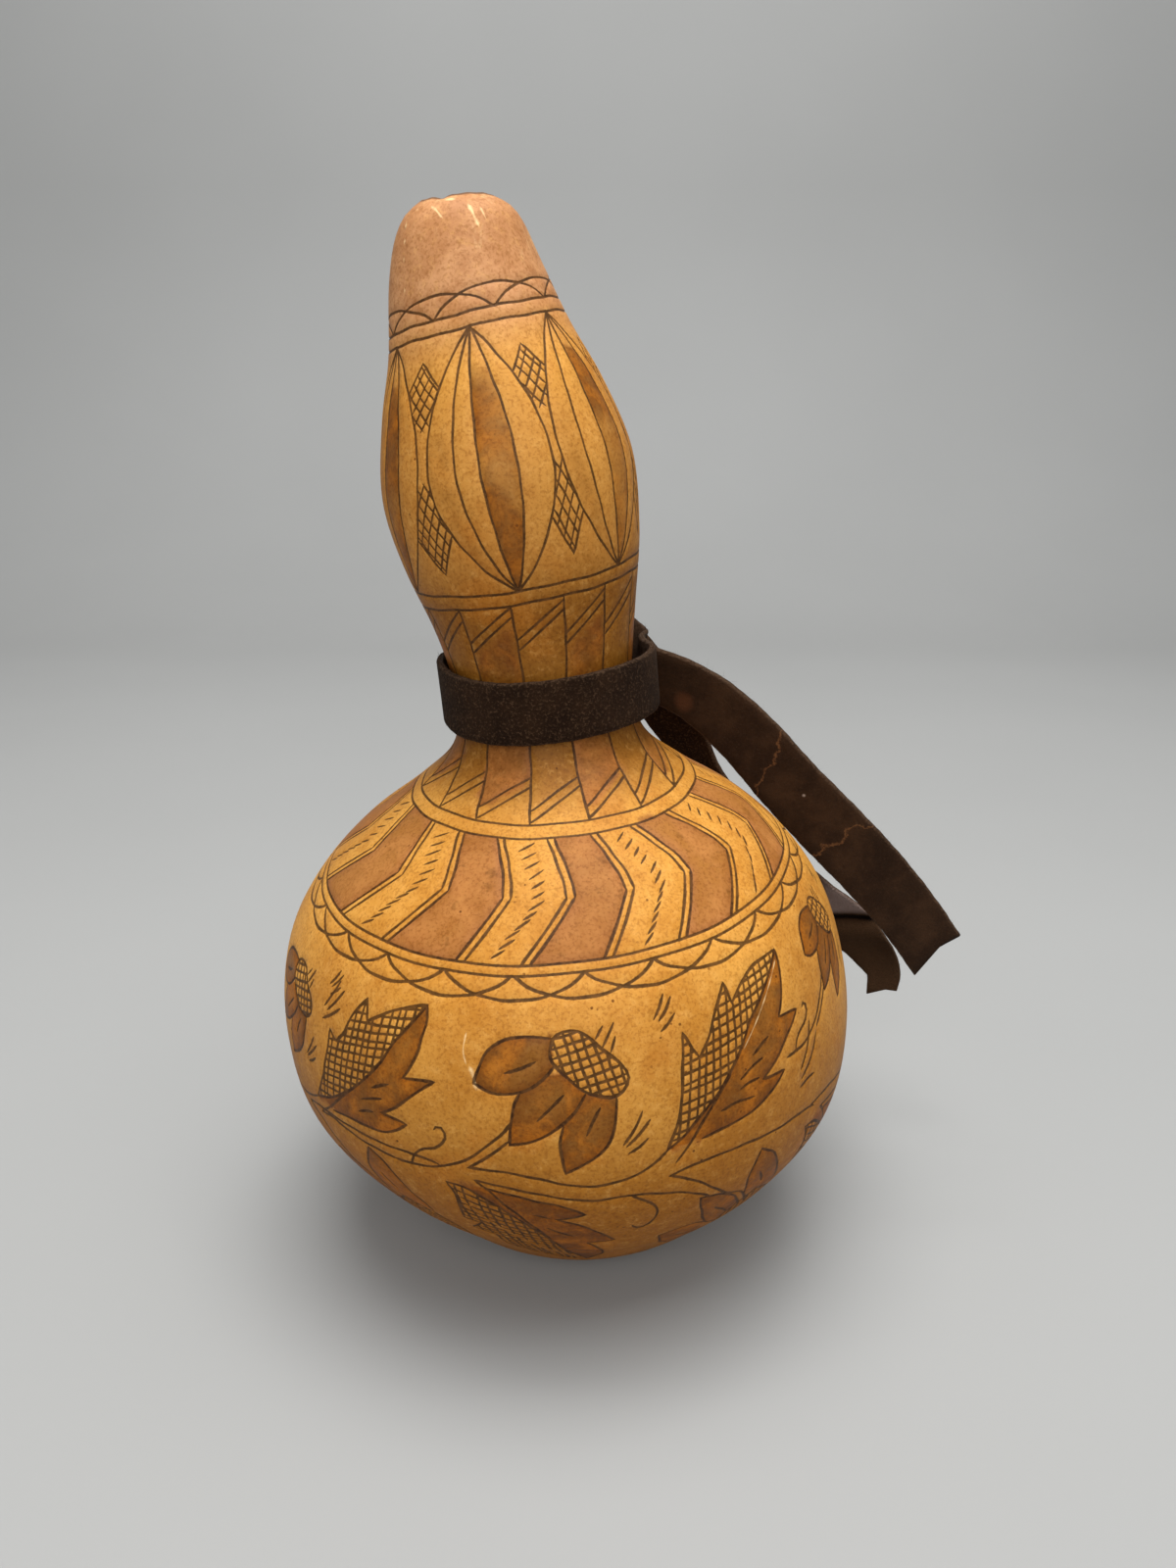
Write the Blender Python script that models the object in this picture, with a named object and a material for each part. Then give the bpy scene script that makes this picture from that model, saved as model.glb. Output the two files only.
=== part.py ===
"""Bottle gourd vessel with a leather strap tied round its neck, in metres, +Z up.

The gourd is one dried shell: a round body, a waist, an upper bulb that leans to -X and a
small mouth at its tip. The strap is one strip of suede that hooks over itself behind the
neck, and its two tails hang on the +X side. The front faces -Y. The origin is the middle
of the flat spot that the gourd stands on.
"""
import math

import bmesh
import bpy
import numpy as np
from mathutils import Vector

# Driving sizes of the gourd
HEIGHT = 0.1893
BODY_RADIUS = 0.054
BODY_LEVEL = 0.0465
WAIST_RADIUS = 0.0159
WAIST_LEVEL = 0.106
BULB_RADIUS = 0.022
BULB_LEVEL = 0.146
BASE_RADIUS = 0.015
MOUTH_RADIUS = 0.0045
OUT_OF_ROUND = 0.005

# Wall thickness at levels up the gourd
WALL_LEVELS = (0.0, 0.080, 0.098, 0.116, 0.135, HEIGHT)
WALL_THICKNESS = (0.0033, 0.0031, 0.0018, 0.0017, 0.0024, 0.0026)
MOUTH_DEPTH = 0.0030
LIP_ROUND = 0.0007

# Driving sizes of the strap
STRAP_THICKNESS = 0.0013
TAIL_END_SLANT = 0.0025
REAR_END_SLANT = 0.0012
STRAP_STEPS = 4

# Facets
AROUND = 48
OUTLINE_STEPS = 2

# The gourd's outer outline from the base up, as radius and level along its spine
OUTLINE = (
    (BASE_RADIUS, 0.0),
    (0.0218, 0.0022),
    (0.0284, 0.0058),
    (0.0352, 0.0122),
    (0.0446, 0.0220),
    (0.0521, 0.0340),
    (BODY_RADIUS, BODY_LEVEL),
    (0.0530, 0.0580),
    (0.0500, 0.0680),
    (0.0442, 0.0770),
    (0.0360, 0.0850),
    (0.0258, 0.0920),
    (0.0180, 0.0988),
    (WAIST_RADIUS, WAIST_LEVEL),
    (0.0167, 0.1140),
    (0.0182, 0.1220),
    (0.0210, 0.1340),
    (BULB_RADIUS, BULB_LEVEL),
    (0.0192, 0.1580),
    (0.0155, 0.1680),
    (0.0128, 0.1780),
    (0.0105, 0.1848),
    (0.0087, 0.1875),
    (0.0061, HEIGHT),
)

# The spine that the gourd leans along, as level, x and the tilt of the sections in degrees
SPINE = (
    (0.0, 0.0, 0.0),
    (0.009, -0.0004, 1.8),
    (0.024, -0.0012, 1.6),
    (0.048, -0.0020, 0.0),
    (0.071, -0.0036, -3.0),
    (0.095, -0.0050, -4.0),
    (0.119, -0.0071, -7.5),
    (0.142, -0.0112, -11.0),
    (0.166, -0.0158, -11.0),
    (0.180, -0.0185, -8.0),
    (0.190, -0.0193, -5.0),
)

# The strap lies round this axis where it hugs the neck, and leans with it
NECK_AXIS_X = -0.006
NECK_LEAN = -0.09


def round_neck(degrees, radius, level, width):
    """One point of the strap's route where its width stands upright against the neck."""
    angle = math.radians(degrees)
    x = NECK_AXIS_X + radius * math.cos(angle)
    return (x, radius * math.sin(angle), level, NECK_LEAN, 0.0, 1.0, width)


# The strap's middle line from the rear tail's end to the front tail's end.
# Each point is x, y and z, then the direction across the strap, then its width.
STRAP_ROUTE = (
    (0.0669, 0.0236, 0.0347, 0.88, -0.15, 0.05, 0.0064),
    (0.0671, 0.0243, 0.0388, 0.85, -0.18, 0.28, 0.0074),
    (0.0644, 0.0252, 0.0434, 0.72, -0.25, 0.55, 0.0094),
    (0.0591, 0.0262, 0.0489, 0.64, -0.28, 0.66, 0.0112),
    (0.0523, 0.0278, 0.0540, 0.52, -0.40, 0.70, 0.0115),
    (0.0460, 0.0302, 0.0597, 0.48, -0.55, 0.60, 0.0115),
    (0.0395, 0.0324, 0.0669, 0.45, -0.70, 0.50, 0.0115),
    (0.0330, 0.0332, 0.0747, 0.42, -0.80, 0.40, 0.0115),
    (0.0272, 0.0320, 0.0820, 0.42, -0.75, 0.42, 0.0115),
    (0.0226, 0.0310, 0.0900, 0.48, -0.55, 0.50, 0.0115),
    (0.0180, 0.0294, 0.0980, 0.58, -0.30, 0.60, 0.0114),
    (0.0126, 0.0280, 0.1060, 0.66, -0.10, 0.68, 0.0114),
    (0.0068, 0.0272, 0.1130, 0.73, 0.0, 0.68, 0.0113),
    (0.0022, 0.0259, 0.1183, 0.75, 0.05, 0.66, 0.0112),
    (0.0004, 0.0230, 0.1206, 0.75, 0.05, 0.66, 0.0112),
    (0.0024, 0.0201, 0.1185, 0.75, 0.0, 0.66, 0.0112),
    (0.0063, 0.0178, 0.1148, 0.72, -0.10, 0.68, 0.0113),
    (0.0104, 0.0136, 0.1119, 0.50, -0.10, 0.85, 0.0114),
    round_neck(25, 0.0202, 0.1109, 0.0112),
    round_neck(3, 0.0202, 0.1106, 0.0111),
    round_neck(-25, 0.0194, 0.1102, 0.0110),
    round_neck(-55, 0.0184, 0.1092, 0.0110),
    round_neck(-85, 0.0180, 0.1081, 0.0110),
    round_neck(-115, 0.0179, 0.1073, 0.0110),
    round_neck(-145, 0.0181, 0.1075, 0.0111),
    round_neck(-175, 0.0183, 0.1084, 0.0112),
    round_neck(155, 0.0184, 0.1086, 0.0113),
    round_neck(130, 0.0186, 0.1083, 0.0114),
    round_neck(110, 0.0196, 0.1078, 0.0115),
    round_neck(92, 0.0209, 0.1074, 0.0116),
    (0.0020, 0.0227, 0.1070, 0.0, 0.0, 1.0, 0.0118),
    (0.0100, 0.0220, 0.1067, 0.12, -0.15, 0.95, 0.0120),
    (0.0180, 0.0189, 0.1054, 0.30, -0.38, 0.90, 0.0123),
    (0.0260, 0.0159, 0.1014, 0.48, -0.38, 0.80, 0.0129),
    (0.0338, 0.0137, 0.0947, 0.60, -0.35, 0.70, 0.0133),
    (0.0417, 0.0124, 0.0860, 0.66, -0.33, 0.66, 0.0137),
    (0.0502, 0.0114, 0.0773, 0.70, -0.30, 0.64, 0.0141),
    (0.0590, 0.0107, 0.0683, 0.74, -0.25, 0.62, 0.0137),
    (0.0672, 0.0101, 0.0589, 0.77, -0.20, 0.60, 0.0129),
    (0.0732, 0.0096, 0.0507, 0.80, -0.15, 0.56, 0.0125),
)


def smooth_curve(points, steps, place):
    """A centripetal Catmull-Rom curve through points, spaced by their first place values."""
    given = np.array(points, dtype=float)
    padded = np.vstack((2 * given[0] - given[1], given, 2 * given[-1] - given[-2]))
    samples = []
    for i in range(1, len(padded) - 2):
        before, start, end, after = padded[i - 1:i + 3]
        gap_in = math.sqrt(np.linalg.norm((start - before)[:place]))
        gap = math.sqrt(np.linalg.norm((end - start)[:place]))
        gap_out = math.sqrt(np.linalg.norm((after - end)[:place]))
        leave = gap * ((start - before) / gap_in - (end - before) / (gap_in + gap) + (end - start) / gap)
        arrive = gap * ((end - start) / gap - (after - start) / (gap + gap_out) + (after - end) / gap_out)
        for k in range(steps):
            t = k / steps
            samples.append(
                (2 * t**3 - 3 * t**2 + 1) * start
                + (t**3 - 2 * t**2 + t) * leave
                + (3 * t**2 - 2 * t**3) * end
                + (t**3 - t**2) * arrive
            )
    samples.append(given[-1])
    return np.array(samples)


SPINE_CURVE = smooth_curve(SPINE, 12, 1)


def spine_at(level):
    """The spine's x at a level, and the tilt of the gourd's section there in radians."""
    x = np.interp(level, SPINE_CURVE[:, 0], SPINE_CURVE[:, 1])
    tilt = np.interp(level, SPINE_CURVE[:, 0], SPINE_CURVE[:, 2])
    return x, math.radians(tilt)


def swell(angle, radius):
    """How far the gourd is from round at an angle, most where it is widest."""
    share = OUT_OF_ROUND * (radius / BODY_RADIUS) ** 2
    return 1.0 + share * (math.cos(2 * angle - 0.9) + 0.6 * math.cos(3 * angle + 0.8))


def shell_point(radius, level, angle):
    """The place in space of a point at a radius and angle round the leaning spine."""
    x, tilt = spine_at(level)
    out = radius * swell(angle, radius)
    across = out * math.cos(angle)
    return Vector((x + across * math.cos(tilt), out * math.sin(angle), level - across * math.sin(tilt)))


def inner_outline(outer):
    """The outline moved inwards by the wall, from the mouth down to the inside of the base."""
    slope = np.gradient(outer, axis=0)
    slope /= np.linalg.norm(slope, axis=1)[:, None]
    top = HEIGHT - MOUTH_DEPTH
    points = [
        (MOUTH_RADIUS + LIP_ROUND, HEIGHT),
        (MOUTH_RADIUS + 0.3 * LIP_ROUND, HEIGHT - 0.3 * LIP_ROUND),
        (MOUTH_RADIUS, HEIGHT - LIP_ROUND),
        (MOUTH_RADIUS, top),
        (MOUTH_RADIUS + LIP_ROUND, top - LIP_ROUND),
    ]
    for (radius, level), (rise_r, rise_z) in list(zip(outer, slope))[::-OUTLINE_STEPS]:
        wall = np.interp(level, WALL_LEVELS, WALL_THICKNESS)
        inside = (radius - wall * rise_z, level + wall * rise_r)
        if inside[1] < points[-1][1] - 2 * LIP_ROUND and inside[1] > WALL_THICKNESS[0]:
            points.append(inside)
    points.append((BASE_RADIUS, WALL_THICKNESS[0]))
    return points


def material(name, colour, roughness):
    """A plain Principled material."""
    made = bpy.data.materials.new(name)
    made.use_nodes = True
    shader = made.node_tree.nodes["Principled BSDF"]
    shader.inputs["Base Color"].default_value = (*colour, 1.0)
    shader.inputs["Roughness"].default_value = roughness
    shader.inputs["Metallic"].default_value = 0.0
    return made


def add_object(name, mesh_builder, finish):
    """A named object from a bmesh, shaded smooth apart from its sharp edges."""
    mesh = bpy.data.meshes.new(name)
    bmesh.ops.recalc_face_normals(mesh_builder, faces=mesh_builder.faces)
    mesh_builder.to_mesh(mesh)
    mesh_builder.free()
    mesh.shade_smooth()
    mesh.set_sharp_from_angle(angle=math.radians(40))
    mesh.materials.append(finish)
    made = bpy.data.objects.new(name, mesh)
    bpy.context.scene.collection.objects.link(made)
    return made


def build_gourd(finish):
    """The hollow gourd: rings from the base up its outside, over the lip and down its inside."""
    outer = smooth_curve(OUTLINE, OUTLINE_STEPS, 2)
    path = [tuple(point) for point in outer] + inner_outline(outer)
    shell = bmesh.new()
    rings = []
    for radius, level in path:
        ring = []
        for k in range(AROUND):
            ring.append(shell.verts.new(shell_point(radius, level, 2 * math.pi * k / AROUND)))
        rings.append(ring)
    for lower, upper in zip(rings, rings[1:]):
        for k in range(AROUND):
            after = (k + 1) % AROUND
            shell.faces.new((lower[k], lower[after], upper[after], upper[k]))
    shell.faces.new(rings[0][::-1])
    shell.faces.new(rings[-1])
    return add_object("gourd", shell, finish)


def strap_frames():
    """The strap's middle, direction across, outward normal and width along its smooth route."""
    route = smooth_curve(STRAP_ROUTE, STRAP_STEPS, 3)
    middle = route[:, :3]
    along = np.gradient(middle, axis=0)
    along /= np.linalg.norm(along, axis=1)[:, None]
    across = route[:, 3:6]
    across = across - (across * along).sum(axis=1)[:, None] * along
    across /= np.linalg.norm(across, axis=1)[:, None]
    # Both tails are cut off at a slant
    across[0] = across[0] + along[0] * 2 * REAR_END_SLANT / route[0, 6]
    across[-1] = across[-1] - along[-1] * 2 * TAIL_END_SLANT / route[-1, 6]
    return middle, across, np.cross(along, across), route[:, 6]


def build_strap(finish):
    """The strap: a flat rectangular section carried along its route."""
    strap = bmesh.new()
    sections = []
    half = STRAP_THICKNESS / 2
    for middle, across, normal, width in zip(*strap_frames()):
        edge = across * width / 2
        corners = (
            middle - edge - normal * half,
            middle + edge - normal * half,
            middle + edge + normal * half,
            middle - edge + normal * half,
        )
        sections.append([strap.verts.new(Vector(corner)) for corner in corners])
    for first, second in zip(sections, sections[1:]):
        # Both broad faces are split along the same diagonal
        for a, b in ((0, 1), (3, 2)):
            strap.faces.new((first[a], first[b], second[b]))
            strap.faces.new((first[a], second[b], second[a]))
        for a, b in ((1, 2), (3, 0)):
            strap.faces.new((first[a], first[b], second[b]))
            strap.faces.new((first[a], second[b], second[a]))
    strap.faces.new(sections[0])
    strap.faces.new(sections[-1])
    return add_object("leather_strap", strap, finish)


for old in list(bpy.data.objects):
    bpy.data.objects.remove(old, do_unlink=True)

build_gourd(material("gourd_shell", (0.72, 0.44, 0.16), 0.42))
build_strap(material("suede", (0.075, 0.055, 0.042), 0.85))
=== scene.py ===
"""Looks of the bottle gourd vessel: its engraved and stained skin, its suede strap, camera and light.

The pattern is drawn on the unrolled skin. A place on it is an azimuth in degrees, 0 at the
front and growing towards +X, and a climb in millimetres up the outline from the base's edge.
All other places are in metres, in the frame of the solids.
"""
import math
import random

import bmesh
import bpy
import numpy as np
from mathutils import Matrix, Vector, geometry, kdtree


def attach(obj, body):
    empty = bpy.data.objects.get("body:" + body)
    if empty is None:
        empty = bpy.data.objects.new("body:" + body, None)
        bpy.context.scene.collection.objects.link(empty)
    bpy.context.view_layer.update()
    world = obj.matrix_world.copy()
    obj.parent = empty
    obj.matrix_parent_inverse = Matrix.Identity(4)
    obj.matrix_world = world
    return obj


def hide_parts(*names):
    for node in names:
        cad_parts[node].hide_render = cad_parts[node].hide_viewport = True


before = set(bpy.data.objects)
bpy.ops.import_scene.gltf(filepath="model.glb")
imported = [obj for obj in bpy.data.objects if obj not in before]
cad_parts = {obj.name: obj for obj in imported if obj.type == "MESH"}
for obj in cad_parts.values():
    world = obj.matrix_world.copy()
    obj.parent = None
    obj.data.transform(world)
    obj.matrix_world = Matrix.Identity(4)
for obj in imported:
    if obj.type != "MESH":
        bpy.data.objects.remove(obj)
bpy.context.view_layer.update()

HAND = random.Random(11)

# Sizes repeated from the solids
HEIGHT = 0.1893
BODY_RADIUS = 0.054
BASE_RADIUS = 0.015
MOUTH_RADIUS = 0.0045
OUT_OF_ROUND = 0.005
WALL_LEVELS = (0.0, 0.080, 0.098, 0.116, 0.135, HEIGHT)
WALL_THICKNESS = (0.0033, 0.0031, 0.0018, 0.0017, 0.0024, 0.0026)
MOUTH_DEPTH = 0.0030
LIP_ROUND = 0.0007
STRAP_THICKNESS = 0.0013
TAIL_END_SLANT = 0.0025
REAR_END_SLANT = 0.0012
NECK_AXIS_X = -0.006
NECK_LEAN = -0.09

# The outer outline from the base up, as radius and level along the spine
OUTLINE = (
    (BASE_RADIUS, 0.0),
    (0.0218, 0.0022),
    (0.0284, 0.0058),
    (0.0352, 0.0122),
    (0.0446, 0.0220),
    (0.0521, 0.0340),
    (BODY_RADIUS, 0.0465),
    (0.0530, 0.0580),
    (0.0500, 0.0680),
    (0.0442, 0.0770),
    (0.0360, 0.0850),
    (0.0258, 0.0920),
    (0.0180, 0.0988),
    (0.0159, 0.1060),
    (0.0167, 0.1140),
    (0.0182, 0.1220),
    (0.0210, 0.1340),
    (0.0220, 0.1460),
    (0.0192, 0.1580),
    (0.0155, 0.1680),
    (0.0128, 0.1780),
    (0.0105, 0.1848),
    (0.0087, 0.1875),
    (0.0061, HEIGHT),
)

# The spine that the gourd leans along, as level, x and the tilt of the sections in degrees
SPINE = (
    (0.0, 0.0, 0.0),
    (0.009, -0.0004, 1.8),
    (0.024, -0.0012, 1.6),
    (0.048, -0.0020, 0.0),
    (0.071, -0.0036, -3.0),
    (0.095, -0.0050, -4.0),
    (0.119, -0.0071, -7.5),
    (0.142, -0.0112, -11.0),
    (0.166, -0.0158, -11.0),
    (0.180, -0.0185, -8.0),
    (0.190, -0.0193, -5.0),
)

# The notch in the rim: its azimuth and width in degrees, and its depth
NOTCH_AZIMUTH = -16.0
NOTCH_WIDTH = 9.0
NOTCH_DEPTH = 0.0004

# Facets of the skin, in millimetres, and the points round each plain ring. Plain facets stay
# clear of rings and grooves.
GRID = 1.5
RING_CLEAR = 0.5
GROOVE_CLEAR = 0.62
STROKE_STEP = 1.1
AROUND = 180

# Engraved lines, in millimetres. The factors widen them on the body and thin them on the bulb.
LINE = 0.60
THIN_LINE = 0.57
HATCH_LINE = 0.52
POINT = 0.7
GROOVE_DEPTH = 0.13
WOBBLE = 0.07
FULL_CUT = 0.20
LINE_CLIMBS = (100.0, 150.0)
LINE_FACTORS = (1.18, 0.92)

# Hatching: the gaps between its lines, in millimetres
LATTICE_GAP = 1.42
KITE_GAP = 1.5
ELBOW_GAP_ALONG = 1.95

# Stains: how far one runs under its line, and how much and how far its dye pools at the edge
STAIN_OVERLAP = 0.17
EDGE_POOL = 0.22
POOL_WIDTH = 0.9

# Rings round the gourd: climb at the front, rise towards the back and rise towards +X
TIP_UPPER = (206.1, 0.0, 0.75)
TIP_LOWER = (203.9, 0.0, 0.6)
BULB_UPPER = (162.3, 1.6, 0.0)
BULB_SEAM = (161.2, 1.3, 0.17)
BULB_LOWER = (160.1, 1.0, 0.35)
NECK_UPPER = (119.8, 3.8, -0.5)
NECK_SEAM = (118.4, 4.0, -0.55)
NECK_LOWER = (117.0, 4.2, -0.6)
SHOULDER_UPPER = (94.6, 6.4, 0.0)
SHOULDER_LOWER = (93.0, 6.4, 0.0)

# Elbow panels on the shoulder: azimuths of the borders seen from the front at top, bend and foot
ELBOWS = (
    (-64.4, -61.0, -72.8),
    (-45.6, -42.8, -54.4),
    (-30.6, -26.6, -37.4),
    (-15.6, -10.0, -18.3),
    (1.0, 5.3, -4.9),
    (15.0, 19.9, 11.4),
    (29.2, 36.5, 27.6),
    (44.5, 53.7, 41.9),
    (61.9, 71.3, 59.5),
)
ELBOWS_IN_ALL = 22
ELBOW_BEND = 0.48
ELBOW_GAP = (1.2, 1.0, 0.9)

# Posts round the neck: azimuths of those seen from the front at foot, collar and top
POSTS = (
    (-71.0, -84.0, -88.0),
    (-47.0, -60.5, -63.2),
    (-27.4, -36.7, -36.0),
    (-6.3, -8.5, -7.5),
    (15.1, 17.0, 19.5),
    (36.9, 42.2, 43.5),
    (58.6, 69.9, 69.5),
)
POSTS_IN_ALL = 14

# Climbs under and over the strap's collar, where the upper braces start, and where posts bend
COLLAR_LOW = 134.0
COLLAR_HIGH = 145.0
BRACE_FEET = (152.0, 153.8)
POST_CLIMBS = (120.0, 127.0, COLLAR_LOW, COLLAR_HIGH, 160.0)

# Pods round the bulb that are seen from the front: azimuth at top and foot, reach to each side
# in degrees, and the three ribs as shares of that reach
PODS = (
    (-56.0, -67.0, 26.0, 25.0, (-0.60, -0.10, 0.46)),
    (-0.2, -1.5, 30.0, 25.5, (-0.55, -0.19, 0.40)),
    (53.0, 53.5, 25.0, 25.0, (-0.50, 0.0, 0.58)),
)
PODS_IN_ALL = 7

# Scallops: feet round the gourd, azimuth of one foot and height in millimetres
TIP_SCALLOPS = (9, 18.0, 3.4)
SHOULDER_SCALLOPS = (26, 6.5, -3.7)


def smooth_curve(points, steps, place):
    """A centripetal Catmull-Rom curve through points, spaced by their first place values."""
    given = np.array(points, dtype=float)
    padded = np.vstack((2 * given[0] - given[1], given, 2 * given[-1] - given[-2]))
    samples = []
    for i in range(1, len(padded) - 2):
        before, start, end, after = padded[i - 1:i + 3]
        gap_in = math.sqrt(np.linalg.norm((start - before)[:place]))
        gap = math.sqrt(np.linalg.norm((end - start)[:place]))
        gap_out = math.sqrt(np.linalg.norm((after - end)[:place]))
        leave = gap * ((start - before) / gap_in - (end - before) / (gap_in + gap) + (end - start) / gap)
        arrive = gap * ((end - start) / gap - (after - start) / (gap + gap_out) + (after - end) / gap_out)
        for k in range(steps):
            t = k / steps
            samples.append(
                (2 * t**3 - 3 * t**2 + 1) * start
                + (t**3 - 2 * t**2 + t) * leave
                + (3 * t**2 - 2 * t**3) * end
                + (t**3 - t**2) * arrive
            )
    samples.append(given[-1])
    return np.array(samples)


SPINE_CURVE = smooth_curve(SPINE, 12, 1)
OUTER = smooth_curve(OUTLINE, 10, 2)
CLIMB = 1000 * np.concatenate(([0.0], np.cumsum(np.linalg.norm(np.diff(OUTER, axis=0), axis=1))))
TOP_CLIMB = CLIMB[-1]


def shell_points(radius, level, azimuth):
    """Places in space for arrays of radius, level and azimuth round the leaning spine."""
    angle = np.radians(np.asarray(azimuth) - 90.0)
    swell = OUT_OF_ROUND * (radius / BODY_RADIUS) ** 2
    out = radius * (1.0 + swell * (np.cos(2 * angle - 0.9) + 0.6 * np.cos(3 * angle + 0.8)))
    x = np.interp(level, SPINE_CURVE[:, 0], SPINE_CURVE[:, 1])
    tilt = np.radians(np.interp(level, SPINE_CURVE[:, 0], SPINE_CURVE[:, 2]))
    across = out * np.cos(angle)
    places = (x + across * np.cos(tilt), out * np.sin(angle), level - across * np.sin(tilt))
    return np.stack(places, axis=-1)


def skin_points(azimuth, climb):
    """Places on the skin for arrays of azimuth and climb."""
    radius = np.interp(climb, CLIMB, OUTER[:, 0])
    level = np.interp(climb, CLIMB, OUTER[:, 1])
    return shell_points(radius, level, azimuth)


def skin_normals(azimuth, climb):
    """Directions out of the skin for arrays of azimuth and climb."""
    turn = skin_points(azimuth + 0.2, climb) - skin_points(azimuth - 0.2, climb)
    rise = skin_points(azimuth, climb + 0.2) - skin_points(azimuth, climb - 0.2)
    out = np.cross(turn, rise)
    return out / np.maximum(np.linalg.norm(out, axis=-1, keepdims=True), 1e-12)


def girth(climb):
    """Millimetres round the gourd for each degree of azimuth at a climb."""
    return np.interp(climb, CLIMB, OUTER[:, 0]) * 1000 * math.pi / 180


def ring_climb(ring, azimuth):
    """The climb of a ring at an azimuth."""
    front, back, side = ring
    angle = np.radians(azimuth)
    return front + back * (1 - np.cos(angle)) + side * np.sin(angle)


# The drawing: strokes as (places, half widths) and stains as (outline, strength, tone, fade)
strokes = []
scuffs = []
stains = []


def even_steps(points, step):
    """Places along a line at even real distances of about step millimetres, and the way to each."""
    points = np.asarray(points, dtype=float)
    gaps = np.diff(points, axis=0)
    gaps[:, 0] *= girth((points[1:, 1] + points[:-1, 1]) / 2)
    run = np.concatenate(([0.0], np.cumsum(np.linalg.norm(gaps, axis=1))))
    even = np.linspace(0.0, run[-1], max(2, round(run[-1] / step)) + 1)
    return np.column_stack([np.interp(even, run, points[:, axis]) for axis in (0, 1)]), even


def lengthened(points, more):
    """A line drawn on past both its ends by so many millimetres."""
    points = np.array(points, dtype=float)
    for end, inner in ((0, 1), (-1, -2)):
        way = points[end] - points[inner]
        length = math.hypot(way[0] * girth(points[end, 1]), way[1])
        points[end] += way * more / length
    return points


def engrave(points, width=LINE):
    """One stroke of the tool along a smooth curve, a little unsteady and pointed at both ends."""
    curve = smooth_curve(points, 10, 2) if len(points) > 2 else points
    places, run = even_steps(lengthened(curve, POINT / 2), STROKE_STEP)
    for end, inner in ((1, 0.6 * POINT), (len(run) - 1, run[-1] - 0.6 * POINT)):
        extra = [np.interp(inner, run, places[:, axis]) for axis in (0, 1)]
        places = np.insert(places, end + (end > 1), extra, axis=0)
        run = np.insert(run, end + (end > 1), inner)
    ends = np.clip(np.minimum(run, run[-1] - run) / POINT, 0.0, 1.0)
    phase = HAND.uniform(0, 2 * math.pi)
    shake = WOBBLE * ends * (np.sin(run / 0.9 + phase) + 0.8 * np.sin(run / 2.3 + 2 * phase))
    places[:, 1] += 0.7 * shake
    places[:, 0] += 0.7 * shake / girth(places[:, 1])
    press = 1.0 + 0.12 * np.sin(run / 1.7 + 3 * phase)
    wider = np.interp(places[:, 1], LINE_CLIMBS, LINE_FACTORS)
    part_at_seam(places, width / 2 * wider * press * ends)


def part_at_seam(places, half):
    """A stroke's stretches between crossings of the skin's seam at the back."""
    turn = np.floor((places[:, 0] + 180.0) / 360.0)
    piece, widths = [places[0]], [half[0]]
    for k in range(1, len(places)):
        if turn[k] != turn[k - 1]:
            seam = 360.0 * max(turn[k], turn[k - 1]) - 180.0
            share = (seam - places[k - 1, 0]) / (places[k, 0] - places[k - 1, 0])
            crossing = places[k - 1] + share * (places[k] - places[k - 1])
            crossing[0] = seam
            there = half[k - 1] + share * (half[k] - half[k - 1])
            whole = np.array(piece + [crossing]) - (360.0 * turn[k - 1], 0.0)
            strokes.append((whole, np.array(widths + [there])))
            piece, widths = [crossing], [there]
        piece.append(places[k])
        widths.append(half[k])
    if len(piece) > 1:
        strokes.append((np.array(piece) - (360.0 * turn[-1], 0.0), np.array(widths)))


def engrave_ring(ring, width=LINE):
    """A line all the way round the gourd."""
    count = round(360.0 * girth(ring[0]) / STROKE_STEP)
    azimuth = np.linspace(-180.0, 180.0, count + 1)
    shake = 0.09 * np.sin(np.radians(7 * azimuth)) + 0.06 * np.sin(np.radians(17 * azimuth + 40))
    places = np.column_stack((azimuth, ring_climb(ring, azimuth) + shake))
    strokes.append((places, np.full(len(places), width / 2)))


def stain(outline, strength=1.0, tone=0.0, fade=0.1):
    """A stained area that fades over fade millimetres along its outline. Tone 1 is amber."""
    for turn in (-360.0, 0.0, 360.0):
        moved = np.array(outline, dtype=float) + (turn, 0.0)
        if moved[:, 0].min() < 180.0 and moved[:, 0].max() > -180.0:
            stains.append((moved, strength, tone, fade))


def clipped(start, end, outline):
    """The stretches of a straight line that lie inside a closed outline."""
    run = end - start
    cuts = []
    for a, b in zip(outline, np.roll(outline, -1, axis=0)):
        side = b - a
        cross = run[0] * side[1] - run[1] * side[0]
        if abs(cross) < 1e-9:
            continue
        away = a - start
        along = (away[0] * side[1] - away[1] * side[0]) / cross
        share = (away[0] * run[1] - away[1] * run[0]) / cross
        if 0 <= share < 1 and 0 <= along <= 1:
            cuts.append(along)
    cuts.sort()
    return [(start + run * a, start + run * b) for a, b in zip(cuts[::2], cuts[1::2])]


def scuff(points, width):
    """A pale worn mark along a smooth curve, with no groove."""
    curve = smooth_curve(points, 6, 2) if len(points) > 2 else points
    places, run = even_steps(curve, 0.7)
    ends = np.clip(np.minimum(run, run[-1] - run) / 0.6, 0.0, 1.0)
    scuffs.append((places, width / 2 * ends * (1.0 + 0.3 * np.sin(run * 1.9))))


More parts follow.
